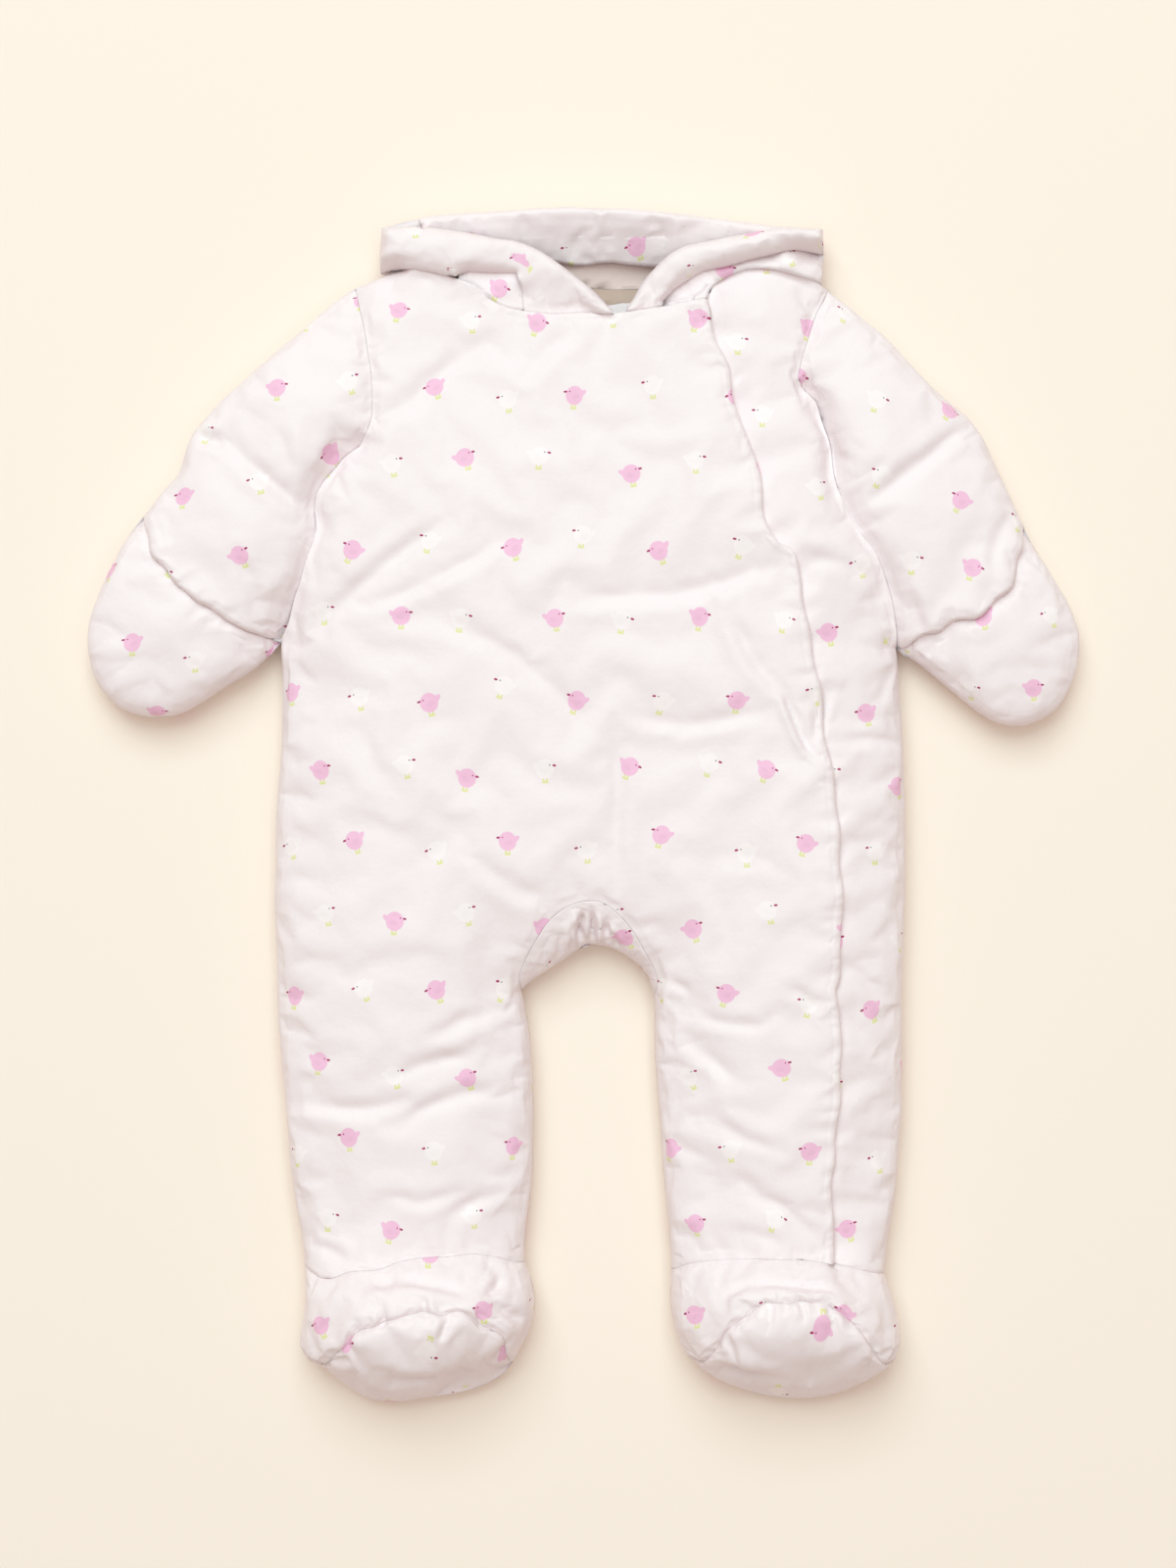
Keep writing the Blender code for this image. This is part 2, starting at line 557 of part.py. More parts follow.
def panel(name, edges, outside, inside, faces_up=True, colour=PRINTED_PINK, spacing=TOP_STEP,
          hidden=HIDDEN_STEP, hidden_seam_rings=(), edge_step=EDGE_STEP):
    """One cut piece as a padded wall between its outside and inside surfaces."""
    shape = Outline(edges, edge_step)
    count = len(shape.outer)
    outer_spots = fill(shape.outer, shape.normal, shape.free, spacing, FREE_RINGS, SEAM_RINGS)
    inner_spots = fill(shape.inner, shape.normal, shape.free, hidden, HIDDEN_RINGS, hidden_seam_rings)
    side = SEAM_GAP / 2 if faces_up else -SEAM_GAP / 2
    mesh = bmesh.new()
    sheets = []
    for loop, spots, surface in ((shape.outer, outer_spots, outside), (shape.inner, inner_spots, inside)):
        flat = np.vstack([loop, spots])
        height = surface(flat)
        height[:count][shape.free] = SIDE_SEAM + side
        tip = THIN_WALL if surface is outside else 0.0
        height[:count][shape.corner] = SIDE_SEAM + side + (tip if faces_up else -tip)
        placed = np.column_stack([flat - MIDDLE, height]) * METRE
        vertices = [mesh.verts.new(spot) for spot in placed]
        sheets.append(vertices)
        upward = (surface is outside) == faces_up
        for face in triangles(loop, spots):
            corners = [vertices[corner] for corner in face]
            mesh.faces.new(corners if upward else corners[::-1])
    outer, inner = sheets
    for here in range(count):
        after = (here + 1) % count
        rim = [outer[after], outer[here], inner[here], inner[after]]
        mesh.faces.new(rim if faces_up else rim[::-1])
    bmesh.ops.triangulate(mesh, faces=mesh.faces)
    bmesh.ops.recalc_face_normals(mesh, faces=mesh.faces)
    data = bpy.data.meshes.new(name)
    mesh.to_mesh(data)
    mesh.free()
    data.materials.append(material(name + "_cloth", colour))
    data.shade_smooth()
    data.set_sharp_from_angle(angle=1.0)
    piece = bpy.data.objects.new(name, data)
    bpy.context.collection.objects.link(piece)
    return piece


def seams(*names):
    return [(name, "seam") for name in names]


def free(*names):
    return [(name, "free") for name in names]


def make_body():
    wrap_edges = (
        seams("neckline", "neckline_end", "flap", "-ankle_left_over", "-ankle_left_inside")
        + free("-inner_left") + seams("-gusset_arch") + free("-inner_right") + seams("-ankle_right")
        + free("-hip_right", "-flank_right") + seams("-armhole_right") + free("shoulder_right")
        + seams("hood_on_shoulder")
    )
    panel("front_wrap", wrap_edges, wrap_top, wrap_inner, hidden_seam_rings=FLAP_RINGS)
    side_edges = (
        seams("neckline_end", "-collar_end") + free("-shoulder_left") + seams("-armhole_left")
        + free("-flank_left", "-hip_left") + seams("-ankle_left_outside", "-ankle_left_over", "-flap_rest")
    )
    panel("front_side", side_edges, side_front_top, top_inner)
    panel("gusset", seams("gusset_arch") + free("-crotch"), top, top_inner)
    back_edges = (
        seams("back_neck") + free("-shoulder_left") + seams("-armhole_left")
        + free("-flank_left", "-hip_left")
        + seams("-ankle_left_outside", "-ankle_left_over", "-ankle_left_inside")
        + free("-inner_left", "-crotch", "-inner_right") + seams("-ankle_right")
        + free("-hip_right", "-flank_right") + seams("-armhole_right") + free("shoulder_right")
    )
    panel("back", back_edges, under, under_inner, faces_up=False, spacing=HIDDEN_STEP)


def make_arm(side):
    sleeve = (
        seams("armhole_" + side if side == "right" else "-armhole_left")
        + free("flank_" + side if side == "right" else "-flank_left")
        + seams("-cuff_" + side) + free("-arm_" + side)
    )
    panel("sleeve_" + side + "_top", sleeve, top, top_inner)
    panel("sleeve_" + side + "_under", sleeve, under, under_inner, faces_up=False, spacing=HIDDEN_STEP)
    mitten = seams("-cuff_" + side) + free("mitten_" + side)
    panel("mitten_" + side + "_top", mitten, mitten_top, mitten_inner)
    panel("mitten_" + side + "_under", mitten, under, under_inner, faces_up=False, spacing=HIDDEN_STEP)


def make_foot(side):
    if side == "right":
        ankle = seams("ankle_right")
        down, across, up = "foot_right_inside", "heel_right", "foot_right"
    else:
        ankle = seams("ankle_left_inside", "ankle_left_over", "ankle_left_outside")
        down, across, up = "foot_left", "heel_left", "foot_left_inside"
    over = free(down) + seams("-sole_" + side) + free("-" + up)
    around = free(down, "-" + across, "-" + up)
    panel("boot_" + side + "_top", ankle + over, top, top_inner, spacing=8.5)
    panel("boot_" + side + "_under", ankle + around, under, under_inner, faces_up=False,
          spacing=HIDDEN_STEP)
    heel = free(across) + seams("-sole_" + side)
    panel("boot_" + side + "_sole", heel, sole(side, 0.0), sole(side, 6.0), spacing=8.5)


def make_hood():
    panel("hood_back", free("crown", "hood_edge_left") + seams("hood_back_low") + free("hood_edge_right"),
          hood_under, hood_under_inner, faces_up=False, spacing=HIDDEN_STEP)
    panel("hood_facing", free("facing_crown") + seams("facing_edge"), facing_top, facing_inner,
          spacing=7.5, edge_step=7.0)
    right = ("rim_right", "band_neck_right", "band_seam_right", "roll_right")
    panel("hood_band_right", free("hood_edge_right") + seams(*right),
          band(right + ("hood_edge_right",)), band_inner, spacing=7.5, edge_step=6.0)
    left = ("roll_left", "band_neck_left", "rim_left")
    panel("hood_band_left", free("hood_edge_left_band") + seams(*("-" + name for name in left)),
          band(left + ("hood_edge_left_band",)), band_inner, spacing=7.5, edge_step=6.0)
    panel("hood_side_right", seams("side_neck_right", "side_hidden_right", "side_collar_right"),
          side_piece_top, side_piece_inner, edge_step=6.0)
    panel("hood_side_left", free("hood_edge_left_side") + seams("-side_shoulder_left", "-side_collar_left")
          + seams("-side_neck_left", "-side_hidden_left"),
          side_piece_top, side_piece_inner, edge_step=6.0)
    for name, base in (("hood_lining", hood_under_inner), ("neck_lining", under_inner)):
        panel(name, seams(name + "_low", name + "_high"), lining(base, LAYER_GAP + LINING_WALL),
              lining(base, LAYER_GAP), colour=LINING_WHITE)


def main():
    for old in list(bpy.data.objects):
        bpy.data.objects.remove(old, do_unlink=True)
    make_body()
    for side in ("right", "left"):
        make_arm(side)
        make_foot(side)
    make_hood()


main()
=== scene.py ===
"""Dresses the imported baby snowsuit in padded, printed cotton, with its creases, gathers and stitching.

Tables hold millimetres seen from above: +X is the wearer's left, +Y runs from the feet to the hood and
+Z is up. What is built from them is placed in metres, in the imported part's own frame.
"""

import math

import bmesh
import bpy
import numpy as np
from bpy.props import FloatProperty, FloatVectorProperty, IntProperty, PointerProperty
from mathutils import Matrix, Vector, noise
from mathutils.bvhtree import BVHTree
from mathutils.kdtree import KDTree


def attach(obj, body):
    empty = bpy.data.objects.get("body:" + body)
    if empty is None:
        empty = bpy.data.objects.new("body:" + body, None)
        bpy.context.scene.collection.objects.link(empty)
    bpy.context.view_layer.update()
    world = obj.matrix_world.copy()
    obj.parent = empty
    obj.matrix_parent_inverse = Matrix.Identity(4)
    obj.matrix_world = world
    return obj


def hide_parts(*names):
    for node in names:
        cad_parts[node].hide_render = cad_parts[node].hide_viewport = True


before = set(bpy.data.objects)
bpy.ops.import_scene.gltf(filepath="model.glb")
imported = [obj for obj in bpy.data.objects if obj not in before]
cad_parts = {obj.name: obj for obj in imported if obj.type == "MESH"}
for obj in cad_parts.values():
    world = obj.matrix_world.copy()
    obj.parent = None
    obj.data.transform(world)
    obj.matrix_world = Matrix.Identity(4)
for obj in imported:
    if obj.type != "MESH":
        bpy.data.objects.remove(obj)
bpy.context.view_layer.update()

bl_info = {
    "name": "Baby snowsuit",
    "version": (1, 0, 0),
    "blender": (4, 5, 0),
    "location": "3D View > Sidebar > Snowsuit",
    "description": "Padded printed cloth, creases, gathers and stitching for a baby snowsuit laid flat",
    "category": "Object",
}

BODY = "root"
MIDDLE = (-0.26, 0.74)  # of the whole suit in the seam lines below

# Driving heights and walls.
SIDE_SEAM = 14.0  # height of the side seams, where front and back pieces meet
SEAM_GAP = 0.3  # between two pieces that are sewn together
LAYER_GAP = 0.5  # between two pieces that lie on each other
EDGE_WALL = 4.0  # padding pressed thin along a seam
BACK_WALL = 6.0  # padding of the pieces that lie on the floor
LINING_WALL = 1.5
HOOD_LINING_CUT = (0.1087, 0.0198, 0.0018)  # width, length and flat area of the lining that shows, in metres
NECK_LINING_CUT = (0.1, 0.0404, 0.0036)
TOP_ROUND = 60.0  # how far in from a side seam the top goes on rising
TOP_POWER = 2.2
TOP_CLIMB = 26.0  # how much of that rise the print is laid flat for
BACK_ROUND = 16.0  # how far in from a side seam the back touches the floor

# The wrap-over flap.
FLAP_LIFT = 5.2
FLAP_OVER = 22.0  # how far the flap lies over the piece below
FLAP_FADE = 46.0  # how far from its edge the flap has settled
FLAP_PRESS = 2.0 * LAYER_GAP  # how far the flap presses the piece below
PRESS_START = 4.0  # how far outside the flap's edge the press begins
PRESS_FADE = 10.0
FLAP_STITCH = 4.6  # how far inside the flap's edge its stitching runs
INSTEP_REACH = 10.0  # how far down the left instep the flap's end lifts it
INSTEP_START = 1.0
INSTEP_FADE = 7.0

# Feet, which stand up and lean back.
TOE_RISE = 25.0
ANKLE_Y = -224.0
TOE_Y = -268.0
SOLE_BULGE = 8.0
SOLE_START = 4.0  # the sole's length where its bulge begins, near its corners
SOLE_FADE = 22.0  # and how much longer it is where the bulge is full
SOLE_STEEP = 0.95

# Mittens, which go in below the sleeve's hem.
MITTEN_SINK = 4.6
MITTEN_REACH = 11.0

# The hood, dropped back with its mouth up.
NECK_EDGE = 29.0
NECK_REACH = 9.0
NECK_END = 9.0  # how soon a neck edge stands up from its free end
HOOD_MIDDLE = 8.9
HOOD_HALF = 117.3
HOOD_SIDE_FADE = 25.0
BAND_FLOOR = 24.3  # underside of the rolled bands
BAND_LOW = 27.0
BAND_CREST = 40.0
BAND_ROUND = 13.0
BAND_SEAM_DIP = 12.0
BAND_SEAM_WIDTH = 18.0
FACING_CREST = 28.0
FACING_ROUND = 5.0
FACING_DEEP = 27.0  # how far from the crown the facing is down at the side seams' height
FACING_FLAT = 35.0  # half the width over which its crest is full
FACING_FADE = 30.0
FACING_SUNK = 1.0  # how far below the side seams' height it ends
FACING_CLEAR = 3.0  # how far outside the bands' rims it already passes below them
SIDE_PIECE_TOP = 23.3
SIDE_FLUSH = 28.2
SIDE_LOW = 21.0
SIDE_CREST = 35.0
SIDE_ROUND = 9.0
SIDE_CLIMB = 0.7  # how steeply the left side piece rises out of the roll
ROLL_CLEAR = 2.0  # how far outside the roll it already passes below the band
SIDE_EDGE_ROUND = 12.0
SIDE_NECK_EDGE = SIDE_LOW + 2.0
ROLL_RIGHT_Y = 281.0  # where the right band's roll begins to cover the side piece
OVERLAP_END = 98.0  # where the left band no longer lies on the side piece
OVERLAP_FADE = 8.0

# Seam lines and free edges, each drawn smoothly through its points (x, y).
LINES = {
    "neckline": ((-51, 267), (-38, 262), (-22, 259), (-5, 259), (22, 260), (46, 262.7)),
    "neckline_end": ((46, 262.7), (56, 265), (64, 266)),
    "flap": (
        (64, 266), (72, 235), (81, 203), (91, 178), (95, 151), (101, 137), (110, 131), (115, 107),
        (120, 76), (125, 42), (131, 12), (133, -24), (134, -84), (131, -96), (133, -111),
        (133, -152), (130, -191), (131, -239.5),
    ),
    "flap_rest": ((46, 262.7), (54, 235), (63, 203), (73, 178), (80, 145), (91, 128), (102, 76),
                  (109, 30), (115, -24), (115, -150), (113, -236.3)),
    "shoulder_right": ((-122, 274.5), (-114, 278), (-106, 282), (-97, 284.5)),
    "hood_on_shoulder": ((-97, 284.5), (-87, 282.5), (-76, 280), (-66, 277.5), (-57, 274), (-51, 267)),
    "armhole_right": ((-122, 274.5), (-119, 262), (-115, 246), (-112, 226), (-111.5, 205), (-118, 190)),
    "flank_right": ((-118, 190), (-130, 179), (-141, 164), (-143, 140), (-148, 124), (-155, 102), (-160, 87)),
    "hip_right": ((-160, 87), (-160.5, 38), (-163.5, -4), (-163.5, -76), (-162, -118), (-158, -160),
                  (-154.5, -201), (-149, -232), (-148, -243)),
    "ankle_right": ((-148, -243), (-136, -246.5), (-123, -244.5), (-95, -237.5), (-73, -235), (-52, -236),
                    (-31.5, -241)),
    "inner_right": ((-31.5, -241), (-31.5, -225), (-28, -196), (-27, -154), (-29, -123), (-33.5, -97)),
    "crotch": ((-33.5, -97), (-28, -92), (-16, -84), (-4, -76), (2, -73), (14, -75), (26, -82),
               (33, -90), (37, -100)),
    "gusset_arch": ((-33.5, -97), (-34, -88), (-28, -75), (-18, -59), (-5, -51), (10, -51), (23, -62),
                    (33, -79), (38, -91), (37, -100)),
    "inner_left": ((37, -100), (38, -139), (41, -180), (44.5, -222), (46.5, -245)),
    "ankle_left_inside": ((46.5, -245), (57.5, -240), (80, -236.5), (113, -236.3)),
    "ankle_left_over": ((113, -236.3), (122, -237.5), (131, -239.5)),
    "ankle_left_outside": ((131, -239.5), (145, -243), (159, -247)),
    "hip_left": ((159, -247), (160.5, -230), (165, -200), (168, -160), (168.5, -97), (170, -24),
                 (168.5, 38), (165, 85)),
    "flank_left": ((165, 85), (162, 109), (155, 127.5), (142, 149), (133, 169), (129, 189), (123, 209),
                   (116, 219)),
    "armhole_left": ((116, 219), (112.5, 225), (115, 237), (121.5, 257), (129, 273.5)),
    "shoulder_left": ((129, 273.5), (125.5, 276), (114, 280), (101, 283), (90, 283.5), (82, 282), (75, 279)),
    "collar_end": ((75, 279), (67, 273), (64, 266)),
    "back_neck": ((-97, 284.5), (-71, 281), (-48, 276.5), (0, 275.5), (30, 275.5), (54, 276.5), (75, 279)),
    "arm_right": ((-122, 274.5), (-133, 267), (-150, 252), (-181, 225), (-206, 199), (-215.5, 176),
                  (-224, 166), (-234, 153.5)),
    "arm_left": ((129, 273.5), (145, 261), (161, 247.5), (181, 225), (205, 204), (216, 184), (232.5, 148)),
    "cuff_right": ((-234, 153.5), (-228, 137), (-215, 118.5), (-197, 103.5), (-180, 93.5), (-160, 87)),
    "cuff_left": ((232.5, 148), (230.5, 134), (223, 116), (213, 104), (198, 98), (185, 91.5), (165, 85)),
    "mitten_right": ((-234, 153.5), (-242, 144), (-249, 130), (-257, 114), (-262, 100), (-263, 85),
                     (-260, 69), (-252, 57), (-242, 50), (-228, 47.5), (-215, 49), (-204, 54), (-192, 62),
                     (-173, 74), (-160, 87)),
    "mitten_left": ((232.5, 148), (247, 125), (256, 109), (261.5, 95), (262.5, 82), (259, 67), (252.5, 54),
                    (243, 46.5), (229.5, 43), (215, 46), (197, 59), (181, 72), (165, 85)),
    "foot_right": ((-148, -243), (-148.5, -266), (-150.5, -283), (-147, -292)),
    "foot_right_inside": ((-31.5, -241), (-27, -256), (-27, -271), (-34, -288), (-38, -294)),
    "heel_right": ((-147, -292), (-135, -301), (-122, -310), (-106, -315.5), (-75, -313), (-55, -308),
                   (-44, -302), (-38, -294)),
    "sole_right": ((-147, -292), (-136, -294), (-130, -287), (-121, -279), (-104, -272), (-89, -267.5),
                   (-65, -267), (-48, -274), (-41, -284), (-38, -294)),
    "foot_left_inside": ((46.5, -245), (46, -264), (49, -281), (54, -291)),
    "foot_left": ((159, -247), (164.5, -265), (167, -280), (165, -291)),
    "heel_left": ((54, -291), (62, -299), (75, -306), (95, -312.5), (112.5, -314.5), (132, -312),
                  (147, -306), (158, -300), (165, -291)),
    "sole_left": ((54, -291), (61, -292), (67, -284), (78, -273), (97, -265), (121, -265.5), (140, -274.5),
                  (151, -286), (157, -293), (165, -291)),
    "hood_back_low": ((125.5, 277), (114, 281), (101, 284), (90, 284.5), (82, 283), (75, 280), (54, 277.3),
                      (30, 276.3), (0, 276.3), (-48, 277.3), (-71, 281.8), (-97, 285.3), (-108, 283)),
    "hood_edge_right": ((-108, 283), (-108.5, 293), (-107.5, 306)),
    "crown": ((-107.5, 306), (-92, 310.5), (-69, 314), (-39, 316), (8, 317), (45, 314.5), (76, 310.5),
              (105, 307), (126, 305)),
    "hood_edge_left_band": ((126, 305), (126.5, 298), (126.5, 292)),
    "hood_edge_left_side": ((126.5, 290.5), (126.5, 284), (125.5, 277)),
    "hood_edge_left": ((126, 305), (126.5, 291), (125.5, 277)),
    "facing_crown": ((-88, 311.2), (-69, 314), (-39, 316), (8, 317), (45, 314.5), (76, 310.5), (105, 307)),
    "facing_edge": ((105, 307), (100, 298), (85, 294), (62, 290.5), (43, 287), (28, 288), (12, 289.5),
                    (-1, 287.5), (-21, 289.5), (-40, 291.5), (-62, 295), (-82, 300), (-88, 311.2)),
    "rim_right": ((-107.5, 306), (-82, 304), (-52, 300), (-30, 295), (-9, 282), (8, 268), (15, 261)),
    "rim_left": ((126, 305), (105, 304.5), (81, 300), (50, 293.5), (34, 280), (25, 267), (20.5, 261)),
    "band_neck_right": ((15, 261), (-5, 260), (-22, 260), (-31.5, 261.7)),
    "band_seam_right": ((-31.5, 261.7), (-33.5, 274), (-36, 280)),
    "roll_right": ((-36, 280), (-60, 282), (-67, 279.8), (-76, 281), (-87, 283.4), (-97, 285.3),
                   (-108, 283)),
    "band_neck_left": ((20.5, 261), (30, 261.5), (39, 262.7)),
    "roll_left": ((39, 262.7), (48, 272.5), (62, 281), (76, 284.3), (95, 290), (113, 294), (126.5, 292)),
    "side_neck_right": ((-50, 268.3), (-38, 263.3), (-32, 261.7)),
    "side_hidden_right": ((-32, 261.7), (-34, 274), (-36.5, 280), (-38, 288), (-50, 290), (-62, 287),
                          (-66, 278.6)),
    "side_collar_right": ((-66, 278.6), (-57, 275), (-50, 268.3)),
    "side_neck_left": ((39.5, 262.7), (56, 266.2), (63.3, 267)),
    "side_collar_left": ((63.3, 267), (66, 274), (74.5, 280)),
    "side_shoulder_left": ((74.5, 280), (82, 283), (90, 284.5), (101, 284), (114, 281), (125.5, 277)),
    "side_hidden_left": ((126.5, 290.5), (120, 291.2), (113, 292.3), (104, 291.5), (95, 294), (76, 289),
                         (60, 287), (48, 279), (41, 270), (39.5, 262.7)),
    "hood_lining_low": ((-46, 278), (0, 277), (30, 277), (52, 278)),
    "hood_lining_high": ((52, 278), (57, 286), (40, 293), (8, 294), (-25, 294), (-52, 287), (-46, 278)),
    "neck_lining_high": ((-46, 275.2), (0, 274.4), (30, 274.4), (52, 275.2)),
    "neck_lining_low": ((52, 275.2), (52, 250), (40, 240), (5, 236), (-33, 240), (-47, 250), (-46, 275.2)),
}

# The free edges, those of them that the top passes over, those that it comes down to, and the hood's.
FREE_NAMES = (
    "shoulder_right", "flank_right", "hip_right", "inner_right", "crotch", "inner_left", "hip_left",
    "flank_left", "shoulder_left", "arm_right", "arm_left", "mitten_right", "mitten_left", "foot_right",
    "foot_right_inside", "heel_right", "foot_left", "foot_left_inside", "heel_left", "crown",
    "hood_edge_right", "hood_edge_left",
)
LIFTED_NAMES = ("flank_right", "flank_left", "shoulder_left")
OPEN_NAMES = tuple(name for name in FREE_NAMES if name not in LIFTED_NAMES)
HOOD_NAMES = ("crown", "hood_edge_right", "hood_edge_left")

# The hood's rolled bands, by their rolled edges and their seams, and the body's neck.
BAND_RIGHT = (("rim_right", "roll_right", "hood_edge_right"), ("band_neck_right", "band_seam_right"))
BAND_LEFT = (("roll_left", "rim_left", "hood_edge_left_band"), ("band_neck_left",))
BODY_NECK = ("neckline", "neckline_end", "collar_end", "hood_on_shoulder", "shoulder_left")

# Spacing of the points along the smooth lines.
LINE_STEP = 2.5
FOLD_STEP = 6.0
CREASE_STEP = 3.0
DETAIL_STEP = 4.0

# Heights of the padding, laid flat: (x, y, height).
HEIGHTS = (
    (5, 262, 30), (-85, 268, 28), (95, 268, 28), (0, 190, 40), (0, 100, 43), (0, 0, 41),
    (-95, -60, 41), (105, -60, 41), (-95, -150, 40), (105, -150, 39), (-90, -235, 36), (103, -235, 36),
    (-160, 215, 39), (165, 215, 39), (-190, 150, 41), (190, 150, 41), (-195, 110, 37), (195, 110, 37),
    (-222, 80, 34), (222, 80, 34),
)
HEIGHT_SPREAD = 46.0

# Seams that press the padding down from above: (line, depth, width).
VALLEYS = (
    ("armhole_right", 4.5, 8.0), ("armhole_left", 4.5, 8.0), ("ankle_right", 5.0, 8.0),
    ("ankle_left_inside", 5.0, 8.0), ("ankle_left_over", 5.0, 8.0), ("ankle_left_outside", 5.0, 8.0),
    ("neckline", 1.0, 8.0), ("flank_right", 9.0, 9.0), ("flank_left", 9.0, 9.0), ("shoulder_left", 4.0, 8.0),
)

# The largest folds, as soft troughs through three points: (x, y, x, y, x, y, depth, width).
FOLDS = (
    (-63, 154, -102, 128, -140, 95, 3.6, 11), (-34, 143, -89, 114, -131, 103, 2.6, 10),
    (-99, 99, -48, 86, 11, 36, 2.4, 11), (108, 130, 54, 113, -19, 108, 2.6, 11),
    (15, 49, 54, 43, 101, 50, 2.0, 10), (17, 43, 17, -4, 16, -46, 1.5, 9),
    (76, 103, 89, 76, 106, 58, 2.6, 10), (-58, -130, -84, -134, -100, -142, 3.0, 10),
    (-82, -150, -118, -158, -154, -155, 3.0, 10), (-43, -148, -68, -152, -104, -167, 3.0, 10),
    (-34, -201, -55, -206, -76, -216, 2.2, 9), (50, -115, 64, -130, 82, -145, 2.6, 10),
    (76, -193, 104, -210, 126, -231, 2.6, 10), (-206, 195, -188, 192, -143, 151, 5.0, 11),
    (202, 200, 167, 173, 142, 153, 4.6, 11), (-125, 205, -132, 185, -139, 168, 2.4, 9),
    (117, 219, 128, 194, 132, 170, 2.6, 9), (-34, 254, -68, 233, -110, 197, 1.6, 11),
)
FOLD_LEAST = 0.35  # share of a fold's depth at its ends
FOLD_END = 18.0

# Creases of the body and sleeves, through three points: (x, y, x, y, x, y, depth, width).
CREASES = (
    (-63, 154, -102, 128, -140, 95, 1.6, 4.0), (-34, 143, -89, 114, -131, 103, 1.1, 3.5),
    (-99, 99, -48, 86, 11, 36, 0.9, 4.0), (108, 130, 54, 113, -19, 108, 1.2, 4.0),
    (15, 49, 54, 43, 101, 50, 1.0, 3.5), (17, 43, 17, -4, 16, -46, 0.8, 3.5),
    (76, 103, 89, 76, 106, 58, 1.4, 3.5), (107, 133, 138, 125, 162, 110, 1.5, 4.0),
    (134, 33, 152, 36, 169, 31, 1.1, 3.0), (134, -80, 143, -87, 158, -103, 1.1, 3.0),
    (136, -110, 150, -123, 164, -134, 1.2, 3.5), (-31, -105, -65, -112, -86, -125, 1.4, 4.0),
    (-57, -130, -84, -134, -100, -142, 1.6, 3.5), (-82, -150, -118, -158, -154, -155, 1.7, 3.8),
    (-43, -148, -68, -152, -104, -167, 1.6, 3.8), (-33, -201, -55, -206, -76, -216, 1.3, 3.2),
    (-104, -203, -86, -206, -66, -202, 1.0, 3.5), (-146, -230, -132, -233, -119, -242, 1.5, 3.0),
    (50, -115, 64, -130, 82, -145, 1.3, 3.5), (61, -111, 77, -113, 96, -114, 1.2, 3.2),
    (105, -93, 114, -97, 122, -106, 1.1, 3.0), (62, -158, 80, -171, 103, -180, 1.1, 3.5),
    (76, -193, 104, -210, 126, -231, 1.4, 3.5), (72, -221, 90, -224, 109, -230, 1.2, 3.0),
    (37, -89, 46, -91, 57, -99, 1.2, 2.8), (-3, 253, -21, 238, -35, 220, 0.9, 4.0),
    (-33, 254, -68, 233, -110, 197, 1.0, 4.5), (54, 262, 60, 256, 65, 250, 0.9, 3.0),
    (-66, -19, -35, -43, -11, -48, 0.8, 4.0), (-102, 64, -113, 33, -102, 2, 0.7, 4.5),
    (37, -30, 64, -24, 106, -30, 0.7, 4.5), (-206, 195, -198, 193, -188, 192, 2.2, 3.5),
    (-188, 192, -167, 173, -143, 151, 2.0, 4.0), (-162, 203, -157, 188, -154, 174, 1.2, 3.5),
    (-125, 205, -132, 185, -139, 168, 1.2, 3.5), (-185, 137, -174, 116, -170, 95, 1.0, 3.5),
    (202, 200, 167, 173, 142, 153, 2.2, 4.0), (158, 184, 147, 168, 141, 158, 1.3, 3.2),
    (117, 219, 128, 194, 132, 170, 1.4, 3.5), (171, 116, 175, 100, 178, 89, 1.0, 3.0),
    (225, 158, 216, 137, 212, 116, 1.2, 3.2),
    (-1.6, -73, -2.3, -65, -0.4, -55.5, 8.5, 1.9), (3.8, -73, 4.6, -64, 3.4, -54, 5.0, 1.7),
    (-7.5, -75, -6.5, -66, -5.5, -58, 2.6, 1.7), (13.6, -74, 12, -68, 11.2, -60, 3.6, 1.7),
    (17.8, -77, 16.4, -72, 14.8, -64, 3.2, 1.7), (-15, -81, -13, -73, -11, -64, 1.6, 1.7),
    (67.3, -289.6, 83.5, -295.9, 105, -300, 3.4, 3.2), (58, -262, 90, -251, 140, -258, 2.4, 3.2),
    (72, -277.2, 77.2, -284.4, 79.8, -292.2, 1.8, 2), (108.4, -260, 112.1, -266.2, 113.6, -274, 2, 2),
    (124, -265.2, 127.7, -271.4, 129.7, -279.2, 1.7, 2), (142.2, -274, 148.5, -279.8, 152.6, -287, 2, 2.2),
    (92.8, -261, 95.4, -268.8, 94.4, -278.2, 1.7, 2),
    (-125, -250, -94, -246.5, -52, -256, 3.4, 3.2), (-52, -256, -46, -251, -43, -245, 3.0, 2.4),
    (-51, -257, -40, -264, -30, -272, 3.0, 3), (-83.5, -258, -83, -263, -82.4, -270, 2.6, 2),
    (-103.7, -264, -103.5, -270, -102.7, -276, 2.4, 2), (-122, -278, -121, -282, -118, -289, 1.8, 2.2),
    (-132.9, -293, -129, -290, -120, -288, 2, 2.2), (-42.4, -281, -46, -287, -52, -293, 1.8, 2.2),
    (-69, -266.8, -72, -273, -76.2, -281, 2.2, 2.2), (-110, -297, -80, -300, -51, -291, 3.2, 3.5),
    (103, 62.5, 110.3, 45.2, 120.3, 26.6, 4.0, 2.1), (128, 70, 123, 56, 120.3, 26.6, 1.2, 3),
)
CREASE_LEAST = 0.12  # share of a crease's depth at its ends
CREASE_FADE = 0.35  # share of a crease's length over which it deepens from each end
CREASE_WANDER = 14.0  # spacing of the rise and fall along creases
RIDGE_TALL = 0.75  # the puffed ridges beside a crease, in shares of its depth and width
RIDGE_PLACE = 2.1
RIDGE_WIDTH = 1.2

